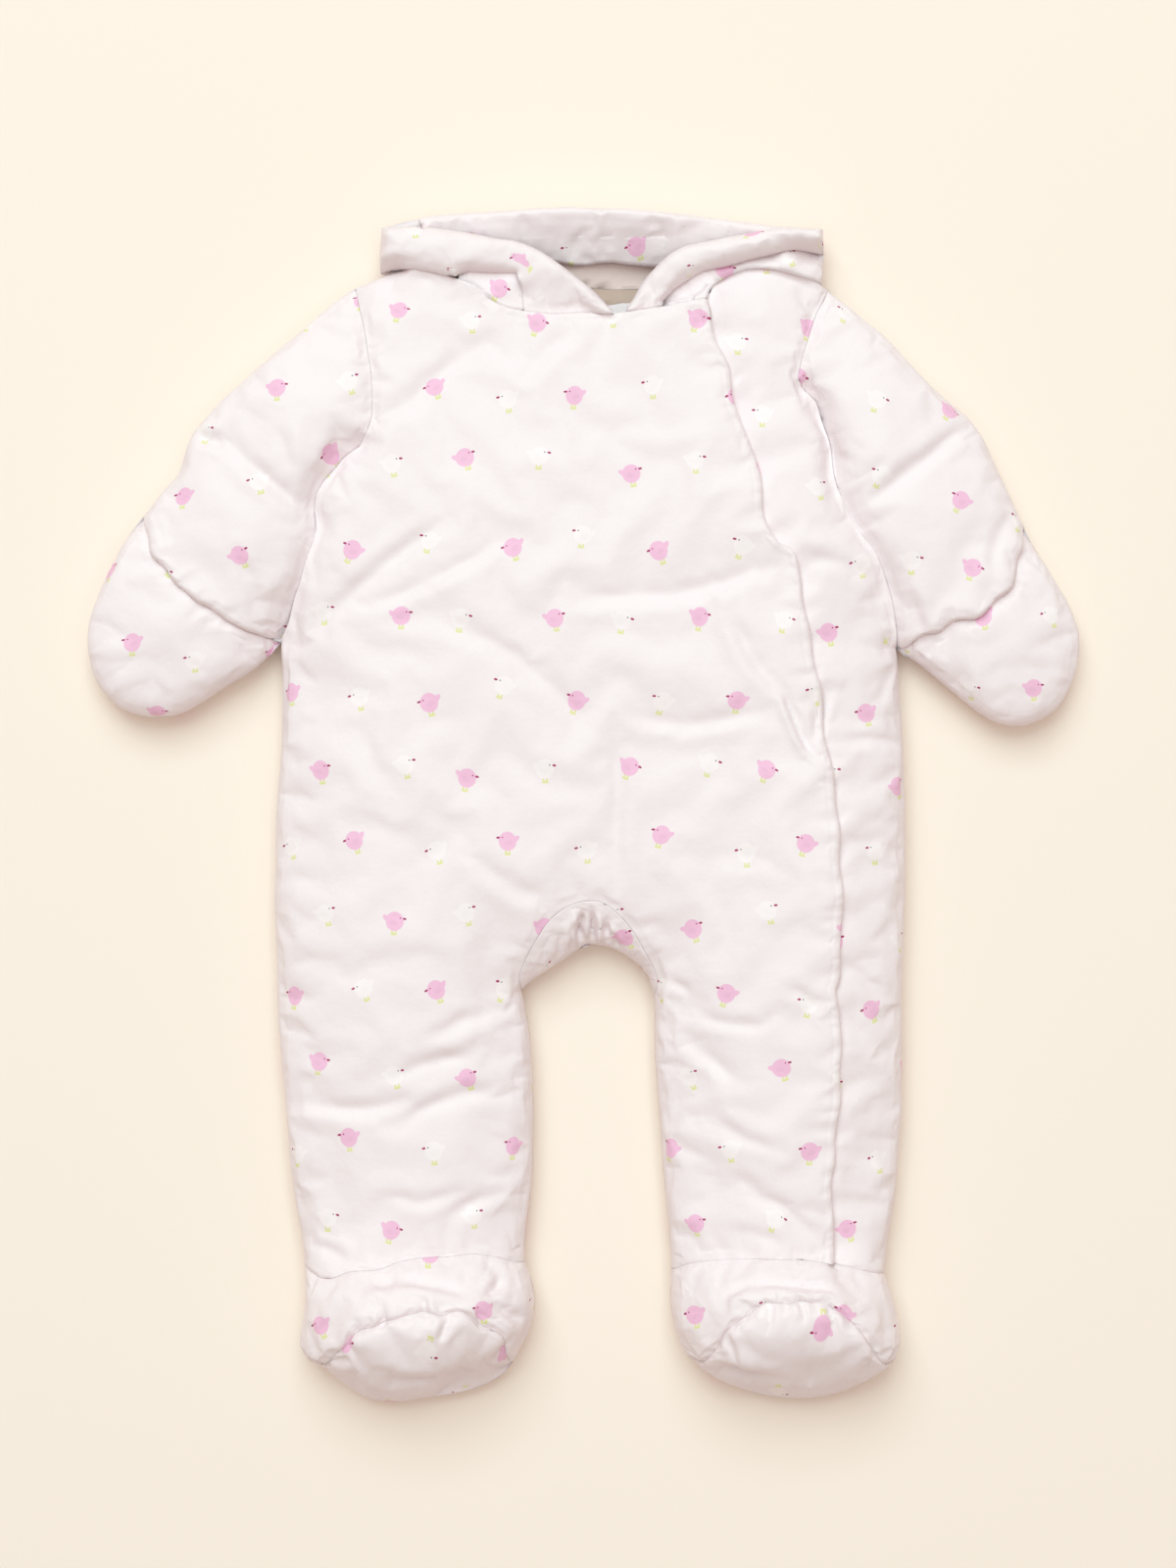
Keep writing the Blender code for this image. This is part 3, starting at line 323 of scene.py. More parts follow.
# Small wrinkles that run out from a seam or edge: (line, height, reach, spacing along it).
GATHERS = (
    ("ankle_right", 0.9, 9, 9), ("ankle_left_inside", 0.9, 9, 9), ("ankle_left_over", 0.9, 8, 8),
    ("ankle_left_outside", 0.9, 9, 9), ("sole_right", 1.7, 10, 11), ("sole_left", 1.7, 10, 11),
    ("gusset_arch", 0.12, 8, 9), ("crotch", 0.25, 10, 10), ("armhole_right", 0.7, 11, 15),
    ("armhole_left", 0.7, 11, 15), ("cuff_right", 0.8, 10, 13), ("cuff_left", 1.0, 10, 12),
    ("neckline", 0.5, 12, 17), ("flap", 0.75, 10, 15), ("inner_right", 0.6, 10, 13),
    ("inner_left", 0.6, 10, 13),
    ("hip_right", 0.5, 12, 19), ("hip_left", 0.5, 12, 19), ("flank_right", 0.2, 12, 15),
    ("flank_left", 0.2, 12, 15), ("arm_right", 0.5, 10, 17), ("arm_left", 0.5, 10, 17),
    ("mitten_right", 0.5, 9, 12), ("mitten_left", 0.5, 9, 12), ("foot_right", 0.7, 9, 11),
    ("foot_right_inside", 0.7, 9, 11), ("foot_left", 0.7, 9, 11), ("foot_left_inside", 0.7, 9, 11),
    ("heel_right", 0.9, 8, 10), ("heel_left", 0.9, 8, 10), ("crown", 0.5, 9, 15),
)

# Soft lumps all over: (height, size, seed).
LUMPS = ((0.9, 46.0, 1.0), (0.45, 19.0, 2.0), (0.14, 7.0, 3.0))
RIPPLE_GAIN = 1.7  # brings the noise to about -1 to 1

# Seams that the feet's fullness carries towards the hood: (line, how far, reach).
LIFTS = (("sole_right", 6.5, 16.0), ("sole_left", 9.5, 16.0))
LIFT_END = 45.0  # how soon from a seam's ends the lift is full

# Sideways wander of the whole cloth: (how far, size).
WANDERS = ((0.55, 33.0), (0.25, 13.0))

# Edges that waver sideways: (line, how far, spacing along it, reach).
WAVERS = (
    ("flap", 1.5, 26.0, 14.0), ("cuff_right", 1.6, 15.0, 10.0), ("cuff_left", 2.0, 13.0, 10.0),
    ("ankle_right", 1.0, 17.0, 10.0), ("neckline", 0.8, 19.0, 12.0), ("sole_right", 1.3, 11.0, 8.0),
    ("sole_left", 1.5, 11.0, 8.0), ("flank_right", 1.2, 21.0, 12.0), ("flank_left", 1.2, 21.0, 12.0),
)
WAVER_GAIN = 2.2

# Sewn lines that pinch the cloth: (line, depth, width).
PINCHES = (
    ("ankle_right", 0.9, 1.5), ("ankle_left_inside", 0.9, 1.5), ("ankle_left_over", 0.9, 1.5),
    ("ankle_left_outside", 0.9, 1.5), ("sole_right", 1.1, 1.5), ("sole_left", 1.1, 1.5),
    ("armhole_right", 0.7, 2.4), ("armhole_left", 0.7, 2.4),
)

# The cloth's mesh.
MERGE = 0.02
SKIN_SLOPE = 0.02  # least upward part of the normal of a face on the skin
CLOSED = 0.85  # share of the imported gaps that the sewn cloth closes
RIM_WALL = 0.8  # least wall at a rim
RIM_FREE = 0.8  # a rim point nearer than this to a side seam keeps its height
STITCH_WIDTH = 0.9
RELIEF_FADE = 2.2  # how far from a side seam the relief begins
SETTLE_SHARE = 0.8
SETTLE_REACH = 12.0
SETTLE_ROUNDS = 40
JOIN_REACH = 2.4  # how near the hood's edges are to the body's seams that they meet
INNER_DROP = 1.6  # how far the unseen inner sheets make room for creases
INNER_FADE = 9.0
DETAIL_REACH = 8.0  # how far from seams and creases the cloth is cut finer
SHARP_ANGLE = 1.2

# The simulation that buckles the cloth.
SIM_SCALE = 0.01  # a scene unit of the simulation is 100 mm
SIM_CLOTH = {
    "quality": 5, "mass": 0.3, "air_damping": 2.0, "tension_stiffness": 20.0, "compression_stiffness": 20.0,
    "shear_stiffness": 10.0, "bending_stiffness": 8.0, "pin_stiffness": 1.0, "shrink_min": -0.09,
    "shrink_max": 0.0,
}
SIM_HOLD = 0.2  # how firmly the padding holds the cloth
SIM_TALL = 1.7  # the gathers' height where the cloth grows most
SIM_PLAIN = 0.11  # share of that growth away from the gathers
SIM_FRAMES = 24
SIM_SHARE = 0.62  # share of the buckling that is kept

# The chick, facing +X, in ovals: (x, y, half width, half height, turn in degrees).
CHICK_BODY = ((0.0, 0.0, 5.2, 5.5, 0.0), (-4.6, 1.2, 2.9, 1.5, -38.0))
CHICK_WING = (-0.9, -0.8, 2.3, 1.5, -18.0)
CHICK_BEAK = (5.5, 1.8, 1.1, 0.65, -8.0)
CHICK_EYE = (3.0, 2.1, 0.42, 0.42, 0.0)
CHICK_FEET = ((-0.9, -6.4, 0.55, 1.5, 16.0), (1.0, -6.4, 0.55, 1.5, -16.0), (0.1, -7.5, 2.1, 0.65, 0.0))
CHICK_GREY = (0.22, 0.2, 0.21)
CHICK_SHIFT = 11.0  # how far chicks wander from their places
CHICK_TILT = 46.0  # and how far they lean, from one extreme to the other
PINK_WING = 0.95  # the wing's share of the body's brightness
WHITE_WING = 0.985

# The cotton's surface.
SPECULAR = 0.27
SHEEN_ROUGH = 0.4
SHEEN_TINT = (1.0, 0.9, 0.93, 1.0)
CRUMPLE_SCALE = 170.0
CRUMPLE_SHARE = 0.5
WEAVE_SHARE = 0.4
WEAVE_TALL = 0.00006

# Stage, in metres.
VIEW_MIDDLE = (0.0021, 0.0112)
VIEW_LENGTH = 0.832  # of the floor, along the picture's long side
KEY_PLACE = (-0.55, 2.75, 4.1)
KEY_SIZE = 3.6
SECOND_PLACE = (0.1, -0.2, 2.2)
SECOND_SIZE = 2.0
SECOND_SHARE = 0.07  # of the key light's power
LIGHT_COLOUR = (0.755, 0.952, 0.985)
FILL_COLOUR = (1.0, 0.775, 0.68)
FLOOR_HALF = 3.0
FLOOR_LOW = -0.0004  # just below the cloth
FLOOR_ROUGH = 0.9
FLOOR_SPECULAR = 0.1
METRE = 0.001  # turns the tables' millimetres into metres


def smooth_line(points, step):
    """Points at even steps along a smooth curve through the given ones."""
    given = np.array(points, float)
    padded = np.vstack([2 * given[0] - given[1], given, 2 * given[-1] - given[-2]])
    share = np.linspace(0.0, 1.0, 12, endpoint=False)[:, None]
    dense = []
    for p0, p1, p2, p3 in zip(padded, padded[1:], padded[2:], padded[3:]):
        dense.append(
            0.5 * (2 * p1 + (p2 - p0) * share + (2 * p0 - 5 * p1 + 4 * p2 - p3) * share**2
                   + (3 * p1 - p0 - 3 * p2 + p3) * share**3)
        )
    dense = np.vstack(dense + [given[-1:]])
    along = np.concatenate([[0.0], np.cumsum(np.hypot(*np.diff(dense, axis=0).T))])
    count = max(2, round(along[-1] / step) + 1)
    wanted = np.linspace(0.0, along[-1], count)
    return np.column_stack([np.interp(wanted, along, dense[:, axis]) for axis in range(2)])


def through(run, step):
    """A smooth line through three points, given as x, y, x, y, x, y."""
    return smooth_line(np.reshape(run, (3, 2)), step)


def nearest(lines, spots):
    """From each spot to the nearest of the polylines: distance, place, distance along it and side."""
    if not len(spots):
        return np.zeros(0), spots, np.zeros(0), np.zeros(0)
    corners = []
    strips = []
    starts = []
    ways = []
    gone = []
    for line in lines:
        run = np.diff(line, axis=0)
        length = np.hypot(*run.T)
        travelled = np.concatenate([[0.0], np.cumsum(length)])
        for here, after, way, before in zip(line, line[1:], run / length[:, None], travelled):
            first = len(corners)
            corners += [(*here, -1.0), (*after, -1.0), (*after, 1.0), (*here, 1.0)]
            strips.append(range(first, first + 4))
            starts.append(here)
            ways.append(way)
            gone.append(before)
    tree = BVHTree.FromPolygons(corners, strips)
    found = [tree.find_nearest((x, y, 0.0)) for x, y in spots.tolist()]
    place = np.array([(hit[0].x, hit[0].y) for hit in found])
    strip = np.array([hit[2] for hit in found])
    gap = spots - place
    way = np.array(ways)[strip]
    along = np.array(gone)[strip] + np.hypot(*(place - np.array(starts)[strip]).T)
    return np.hypot(*gap.T), place, along, way[:, 0] * gap[:, 1] - way[:, 1] * gap[:, 0]


def distance(names, spots):
    """Shortest distance from each spot to any of the named lines."""
    return nearest([FINE[name] for name in names], spots)[0]


def around(line, spots, reach):
    """Which spots lie within reach of the box round a polyline, and what nearest says of them."""
    low = line.min(axis=0) - reach
    high = line.max(axis=0) + reach
    close = np.flatnonzero(np.all((spots > low) & (spots < high), axis=1))
    return close, *nearest([line], spots[close])


def to_end(place, line):
    """Straight distance from each place on a polyline to its nearer end."""
    return np.minimum(np.hypot(*(place - line[0]).T), np.hypot(*(place - line[-1]).T))


def eased(share):
    """A smooth step from 0 to 1."""
    share = np.clip(share, 0.0, 1.0)
    return share * share * (3.0 - 2.0 * share)


def rounded(share, power=2.0):
    """Rises steeply from 0 and levels off at 1, like the side of a pillow."""
    share = np.clip(share, 0.0, 1.0)
    return (1.0 - (1.0 - share) ** power) ** (1.0 / power)


def hump(far, width):
    """1 at a line and smoothly less beside it."""
    return np.exp(-((far / width) ** 2))


FINE = {name: smooth_line(points, LINE_STEP) for name, points in LINES.items()}
DETAIL_LINES = [FINE[name] for name, *_ in GATHERS] + [
    through(run, DETAIL_STEP) for *run, _, _ in CREASES
]
RIM = np.vstack([FINE["rim_right"], FINE["rim_left"][::-1]])
ROLL = FINE["roll_left"]


def plain_height(spots):
    """Height that the padding would reach far from every seam."""
    weights = np.zeros(len(spots))
    total = np.zeros(len(spots))
    for x, y, height in HEIGHTS:
        weight = np.exp(-((spots[:, 0] - x) ** 2 + (spots[:, 1] - y) ** 2) / (2 * HEIGHT_SPREAD**2)) + 1e-6
        weights += weight
        total += weight * height
    toe = eased((ANKLE_Y - spots[:, 1]) / (ANKLE_Y - TOE_Y))
    return total / weights + TOE_RISE * toe


def folds(spots):
    """How far the folds dip at each spot."""
    dip = np.zeros(len(spots))
    for *run, depth, width in FOLDS:
        line = through(run, FOLD_STEP)
        close, far, place, _, _ = around(line, spots, 3.0 * width)
        fade = FOLD_LEAST + (1.0 - FOLD_LEAST) * eased(to_end(place, line) / FOLD_END)
        dip[close] = np.maximum(dip[close], depth * hump(far, width) * fade)
    return dip


def valleys(spots):
    """How far the seams on top press the padding down."""
    dip = np.zeros(len(spots))
    for name, depth, width in VALLEYS:
        close, far, *_ = around(FINE[name], spots, 3.0 * width)
        dip[close] = np.maximum(dip[close], depth * hump(far, width))
    return dip


def top(spots):
    """Upper surface of everything but the hood, the flap and the soles."""
    fullness = rounded(distance(OPEN_NAMES, spots) / TOP_ROUND, TOP_POWER)
    height = SIDE_SEAM + (plain_height(spots) - SIDE_SEAM) * fullness
    return height - (folds(spots) + valleys(spots)) * fullness


def under(spots, edges=FREE_NAMES):
    """Underside, flat on the floor but for its rounded edges."""
    return SIDE_SEAM * (1.0 - rounded(distance(edges, spots) / BACK_ROUND))


def hood_under(spots):
    """Underside of the hood, which the shoulders don't press up."""
    return under(spots, HOOD_NAMES)


def lining(edges):
    """A lining that lies on the inside of what is on the floor between these edges."""

    def surface(spots):
        full = rounded((distance(edges, spots) - EDGE_WALL) / (BACK_ROUND - EDGE_WALL))
        return SIDE_SEAM - (SIDE_SEAM - BACK_WALL) * full + LAYER_GAP + LINING_WALL

    return surface


def inside_flap(spots):
    """How far inside the flap's edge each spot is, measured across the suit."""
    edge = FINE["flap"][::-1]
    return np.interp(spots[:, 1], edge[:, 1], edge[:, 0]) - spots[:, 0]


def flap_lift(spots):
    """How far the over-front stands up near the flap's edge."""
    return FLAP_LIFT * eased((FLAP_OVER + FLAP_FADE - inside_flap(spots)) / FLAP_FADE)


def standing_edge(spots, base, names, free_end, height):
    """Raises a neck edge over the hood's pieces that it is sewn to."""
    reach = hump(distance(names, spots), NECK_REACH)
    return base + np.maximum(height - base, 0.0) * reach * eased(distance(free_end, spots) / NECK_END)


def wrap_top(spots):
    """The over-front, which stands up at the flap and at the neck."""
    base = top(spots) + flap_lift(spots)
    neck = ("neckline", "neckline_end", "hood_on_shoulder")
    return standing_edge(spots, base, neck, ("shoulder_right",), NECK_EDGE)


def side_front_top(spots):
    """The piece below the flap, pressed a little where the flap covers it."""
    base = top(spots) - FLAP_PRESS * eased((inside_flap(spots) + PRESS_START) / PRESS_FADE)
    return standing_edge(spots, base, ("shoulder_left", "collar_end"), ("arm_left",), SIDE_NECK_EDGE)


def boot_left_top(spots):
    """Rises to the two layers that it is sewn to where the flap ends."""
    seam = hump(distance(("ankle_left_inside", "ankle_left_over"), spots), INSTEP_REACH)
    covered = eased((inside_flap(spots) + INSTEP_START) / INSTEP_FADE)
    return top(spots) + flap_lift(spots) * seam * covered


def mitten_top(spots):
    """Starts below the sleeve's hem and fills out away from it."""
    return top(spots) - MITTEN_SINK * hump(distance(("cuff_right", "cuff_left"), spots), MITTEN_REACH)


def sole(side):
    """A padded oval that slants from the toe seam down to the heel."""

    def surface(spots):
        low = distance(("heel_" + side,), spots)
        high, seam, _, _ = nearest([FINE["sole_" + side]], spots)
        share = low / np.maximum(low + high, 1e-6)
        bulge = SOLE_BULGE * np.sin(np.pi * share) * eased((low + high - SOLE_START) / SOLE_FADE)
        climb = np.sin(0.5 * np.pi * share) ** SOLE_STEEP
        return SIDE_SEAM + (top(seam) - SIDE_SEAM) * climb + bulge

    return surface


def from_hood_edge(spots):
    """How far in from the hood's left or right edge each spot is."""
    return HOOD_HALF - np.abs(spots[:, 0] - HOOD_MIDDLE)


def band_rim(spots):
    """Height of the bands' rolled edges, which come down at the hood's sides."""
    return SIDE_SEAM + (BAND_LOW - SIDE_SEAM) * eased(from_hood_edge(spots) / HOOD_SIDE_FADE)


def band(rolled, sewn):
    """A band rolled round along some edges and pressed a little along its seams."""

    def surface(spots):
        low = band_rim(spots)
        share = distance(rolled, spots) / BAND_ROUND
        dip = BAND_SEAM_DIP * hump(distance(sewn, spots), BAND_SEAM_WIDTH)
        return low + (BAND_CREST - low) * rounded(share) - dip * eased(share)

    return surface


def below_bands(spots):
    """The highest that anything below the bands may reach."""
    edge = HOOD_HALF - EDGE_WALL - np.abs(spots[:, 0] - HOOD_MIDDLE)
    return SIDE_SEAM + (BAND_FLOOR - SIDE_SEAM) * eased(edge / HOOD_SIDE_FADE) - LAYER_GAP


def facing_top(spots):
    """Stands up at the crown's edge, slopes into the hood and passes below the bands."""
    far = distance(("crown",), spots)
    across = np.abs(spots[:, 0] - HOOD_MIDDLE)
    crest = FACING_CREST - (FACING_CREST - SIDE_PIECE_TOP) * eased((across - FACING_FLAT) / FACING_FADE)
    climb = SIDE_SEAM + (crest - SIDE_SEAM) * rounded(far / FACING_ROUND)
    slope = (crest - SIDE_SEAM) / (FACING_DEEP - FACING_ROUND) * np.maximum(far - FACING_ROUND, 0.0)
    shape = np.maximum(climb - slope, SIDE_SEAM - FACING_SUNK)
    covered = spots[:, 1] < np.interp(spots[:, 0], RIM[:, 0], RIM[:, 1]) + FACING_CLEAR
    return np.where(covered, np.minimum(shape, below_bands(spots) - LAYER_GAP), shape)


def side_piece_top(spots):
    """Puffs up beside the roll, from the hood's edge and the shoulder, and passes below the band."""
    left = spots[:, 0] > HOOD_MIDDLE
    roll = np.where(left, np.interp(spots[:, 0], ROLL[:, 0], ROLL[:, 1]) - ROLL_CLEAR, ROLL_RIGHT_Y)
    shoulder = distance(("side_shoulder_left",), spots)
    puffed = SIDE_LOW + (SIDE_CREST - SIDE_LOW) * rounded(shoulder / SIDE_ROUND)
    high = np.where(left, puffed, SIDE_FLUSH)
    shape = SIDE_SEAM + (high - SIDE_SEAM) * rounded(from_hood_edge(spots) / SIDE_EDGE_ROUND)
    low = below_bands(spots)
    limit = low + (band_rim(spots) - low) * eased((spots[:, 0] - OVERLAP_END) / OVERLAP_FADE)
    shape = np.where(left, np.minimum(shape, limit + SIDE_CLIMB * distance(("roll_left",), spots)), shape)
    return np.where(spots[:, 1] > roll, np.minimum(shape, limit), shape)


def ripple(spots, size, seed):
    """Soft random rise and fall, from -1 to 1."""
    found = [noise.noise(Vector((x / size, y / size, seed))) for x, y in spots.tolist()]
    return np.array(found) * RIPPLE_GAIN


def wave_along(steps, seed):
    """Soft random rise and fall at these steps along a line."""
    return np.array([noise.noise(Vector((step, seed, 0.0))) for step in steps.tolist()])


def crease_relief(spots):
    """Creases with a puffed ridge along both sides, deeper on one."""
    height = np.zeros(len(spots))
    for index, (*run, depth, width) in enumerate(CREASES):
        line = through(run, CREASE_STEP)
        close, far, place, along, side = around(line, spots, 5.0 * width)
        length = np.hypot(*np.diff(line, axis=0).T).sum()
        left = np.minimum(along, length - along)
        wander = 0.8 + 0.35 * ripple(place, CREASE_WANDER, 3.0 + index)
        share = far / width
        lean = 0.5 + 0.35 * np.sign(side) * (1.0 if index % 2 else -1.0)
        shape = -np.exp(-(share**2)) + RIDGE_TALL * lean * hump(share - RIDGE_PLACE, RIDGE_WIDTH)
        past_end = np.exp(-(((left < 1e-3) * share) ** 2))
        fade = CREASE_LEAST + (1.0 - CREASE_LEAST) * eased(left / (CREASE_FADE * length))
        height[close] += depth * shape * fade * wander * past_end
    return height


def gather_relief(spots):
    """Short irregular wrinkles square to the seams."""
    height = np.zeros(len(spots))
    for index, (name, tall, reach, spacing) in enumerate(GATHERS):
        close, far, _, along, _ = around(FINE[name], spots, 3.0 * reach)
        keep = far < 3.0 * reach
        close, far, along = close[keep], far[keep], along[keep]
        slant = along + 0.35 * far * np.sin(along / 37.0 + index)
        long = reach * (0.75 + 0.6 * wave_along(along / spacing / 1.4, 60.0 + index))
        height[close] += tall * wave_along(slant / spacing, 5.0 + index) * np.exp(-far / long)
    return height


def pinch_relief(spots):
    """Narrow grooves at the sewn lines."""
    height = np.zeros(len(spots))
    for name, depth, width in PINCHES:
        close, far, *_ = around(FINE[name], spots, 3.0 * width)
        height[close] -= depth * hump(far, width)
    return height


def relief(spots):
    """All that stands proud of or dips below the plain padding."""
    lumps = sum(tall * ripple(spots, size, seed) for tall, size, seed in LUMPS)
    return lumps + crease_relief(spots) + gather_relief(spots) + pinch_relief(spots)


def drift(spots):
    """Sideways wander of the whole cloth, the same for every piece, so that neighbours stay together."""
    move = np.column_stack([
        sum(far * ripple(spots, size, seed + index) for index, (far, size) in enumerate(WANDERS))
        for seed in (11.0, 21.0)
    ])
    for name, rise, reach in LIFTS:
        close, far, place, _, _ = around(FINE[name], spots, 3.0 * reach)
        move[close, 1] += rise * hump(far, reach) * eased(to_end(place, FINE[name]) / LIFT_END)
    for index, (name, sway, spacing, reach) in enumerate(WAVERS):
        close, far, _, along, _ = around(FINE[name], spots, 3.0 * reach)
        steps = np.diff(FINE[name], axis=0)
        long = np.hypot(*steps.T)
        mid = np.cumsum(long) - 0.5 * long
        across = np.column_stack([-steps[:, 1], steps[:, 0]]) / long[:, None]
        square = np.column_stack([np.interp(along, mid, across[:, axis]) for axis in range(2)])
        wave = WAVER_GAIN * sway * wave_along(along / spacing, 90.0 + index)
        move[close] += square * (wave * hump(far, reach))[:, None]
    return move


def skin_normals(points, corners):
    """Unit normals of the outside, from its triangles."""
    a, b, c = (points[corners[:, k]] for k in range(3))
    square = np.cross(b - a, c - a)
    total = np.zeros_like(points)
    for k in range(3):
        for axis in range(3):
            total[:, axis] += np.bincount(corners[:, k], square[:, axis], len(points))
    return total / np.maximum(np.linalg.norm(total, axis=1), 1e-12)[:, None]


def nearest_ring(spots, rim):
    """Distance from each spot to the piece's own rim."""
    tree = KDTree(int(rim.sum()))
    for index, (x, y) in enumerate(spots[rim].tolist()):
        tree.insert((x, y, 0.0), index)
    tree.balance()
    return np.array([tree.find((x, y, 0.0))[2] for x, y in spots.tolist()])


def settled(points, corners, inside):
    """Heights with the sharp ridges between neighbouring slopes smoothed away, but for the piece's rim."""
    pairs = np.vstack([corners[:, (0, 1)], corners[:, (1, 2)], corners[:, (2, 0)]])
    pairs = np.vstack([pairs, pairs[:, ::-1]])
    count = np.maximum(np.bincount(pairs[:, 0], minlength=len(points)), 1)
    share = SETTLE_SHARE * eased(inside / SETTLE_REACH) * touched(corners, len(points))
    height = points[:, 2].copy()
    for _ in range(SETTLE_ROUNDS):
        mean = np.bincount(pairs[:, 0], height[pairs[:, 1]], len(points)) / count
        height += share * (mean - height)
    return height


def looseness(spots):
    """How much larger than its padding the cloth is: most at the seams that gather it."""
    share = np.full(len(spots), SIM_PLAIN)
    for name, tall, reach, _ in GATHERS:
        close, far, *_ = around(FINE[name], spots, 4.0 * reach)
        share[close] = np.maximum(share[close], tall / SIM_TALL * np.exp(-far / (1.4 * reach)))
    return np.clip(share, 0.0, 1.0)


def simulated(spots, heights, corners, rim):
    """How the cloth shifts when it is larger than its padding: x, y and z in millimetres for each point."""
    used = np.unique(corners)
    order = np.full(len(spots), -1)
    order[used] = np.arange(len(used))
    start = np.column_stack([spots, heights])[used] * SIM_SCALE
    data = bpy.data.meshes.new("buckling")
    data.from_pydata(start.tolist(), [], order[corners].tolist())
    sheet = bpy.data.objects.new("buckling", data)
    bpy.context.scene.collection.objects.link(sheet)
    held = sheet.vertex_groups.new(name="held")
    trimmed = sheet.vertex_groups.new(name="trimmed")
    for index, (pinned, share) in enumerate(zip(rim[used].tolist(), looseness(spots)[used].tolist())):
        held.add([index], 1.0 if pinned else SIM_HOLD, "REPLACE")
        trimmed.add([index], 1.0 - share, "REPLACE")
    cloth = sheet.modifiers.new("cloth", "CLOTH")
    for name, value in SIM_CLOTH.items():
        setattr(cloth.settings, name, value)
    cloth.settings.vertex_group_mass = held.name
    cloth.settings.vertex_group_shrink = trimmed.name
    cloth.settings.effector_weights.gravity = 0.0
    cloth.point_cache.frame_end = SIM_FRAMES
    scene = bpy.context.scene
    for frame_number in range(1, SIM_FRAMES + 1):
        scene.frame_set(frame_number)
    done = sheet.evaluated_get(bpy.context.evaluated_depsgraph_get()).data
    moved = np.zeros(len(used) * 3)
    done.vertices.foreach_get("co", moved)
    shift = np.zeros((len(spots), 3))
    shift[used] = (moved.reshape(-1, 3) - start) / SIM_SCALE
    bpy.data.objects.remove(sheet)
    bpy.data.meshes.remove(data)
    scene.frame_set(1)
    return shift


def touched(corners, count):
    """Which of the points these triangles use."""
    found = np.zeros(count, bool)
    found[corners] = True
    return found


def buckle(shape, outside, depth, faces_up):
    """Stores the buckling of a piece's skin in its points, so that finer cuts share it."""
    layer = shape.verts.layers.float_vector.new("buckling")
    if not faces_up:
        return
    skin_layer = shape.faces.layers.int["skin"]
    shape.verts.index_update()
    corners = np.array([[v.index for v in face.verts] for face in shape.faces])
    is_skin = np.array([face[skin_layer] for face in shape.faces], bool)
    points = np.array([v.co for v in shape.verts]) / METRE
    spots = points[:, :2] + MIDDLE
    rim = touched(corners[is_skin], len(points)) & touched(corners[~is_skin], len(points))
    points[:, 2] = outside(spots)
    heights = settled(points, corners[is_skin], nearest_ring(spots, rim)) + depth * relief(spots)
    shift = simulated(spots, heights, corners[is_skin], rim)
    for vertex, move in zip(shape.verts, shift.tolist()):
        vertex[layer] = move


def cut_edges(shape, faces, cuts):
    """Cuts each edge of these faces, and leaves triangles."""
    edges = list({edge for face in faces for edge in face.edges})
    bmesh.ops.subdivide_edges(shape, edges=edges, cuts=cuts, use_grid_fill=True)
    bmesh.ops.triangulate(shape, faces=shape.faces)


def finely_cut(node, outside, depth, faces_up, cuts):
    """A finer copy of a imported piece's mesh, with the buckling of each point in millimetres."""
    shape = bmesh.new()
    shape.from_mesh(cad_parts[node].data)
    bmesh.ops.remove_doubles(shape, verts=shape.verts, dist=MERGE * METRE)
    shape.normal_update()
    skin_layer = shape.faces.layers.int.new("skin")
    facing = 1.0 if faces_up else -1.0
    for face in shape.faces:
        face[skin_layer] = int(face.normal.z * facing > SKIN_SLOPE)
    cut_edges(shape, [face for face in shape.faces if face[skin_layer]], cuts)
    buckle(shape, outside, depth, faces_up)
    skin = [face for face in shape.faces if face[skin_layer]]
    middles = np.array([face.calc_center_median()[:2] for face in skin]) / METRE + MIDDLE
    near_detail = nearest(DETAIL_LINES, middles)[0] < DETAIL_REACH
    cut_edges(shape, [face for face, wanted in zip(skin, near_detail) if wanted], 1)
    layer = shape.verts.layers.float_vector["buckling"]
    shift = np.array([tuple(vertex[layer]) for vertex in shape.verts])
    shape.verts.layers.float_vector.remove(layer)
    data = bpy.data.meshes.new(node + "_cloth")
    shape.to_mesh(data)
    shape.free()
    return data, shift


def rows(source, name, kind, width):
    """One property of every element of a mesh, a row for each."""
    found = np.zeros(len(source) * width, kind)
    source.foreach_get(name, found)
    return found.reshape(-1, width)


def closed_up(points, spots, seam_place, at_seam, joins, outer):
    """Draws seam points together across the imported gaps, in the plan and up and down."""
    spots[at_seam] += CLOSED * (seam_place - spots)[at_seam]
    if joins:
        off, join_place, _, _ = nearest([FINE[name] for name in joins], spots)
        meets = (off < JOIN_REACH) & outer
        spots[meets] = join_place[meets]
    points[:, :2] = spots - MIDDLE
    level = np.abs(points[:, 2] - SIDE_SEAM) < SEAM_GAP
    points[level, 2] = SIDE_SEAM + (1.0 - CLOSED) * (points[level, 2] - SIDE_SEAM)


def make_room(points, spots, side, hidden, rim, at_seam):
    """Lowers the unseen inner sheet below the creases, and below the rim where the two meet."""
    points[hidden, 2] -= INNER_DROP * (1.0 - hump(side[hidden], INNER_FADE))
    ring = np.flatnonzero(rim)
    for at in np.flatnonzero(hidden & at_seam):
        over = ring[np.argmin(np.hypot(*(spots[ring] - spots[at]).T))]
        points[at, 2] = min(points[at, 2], points[over, 2] - RIM_WALL)


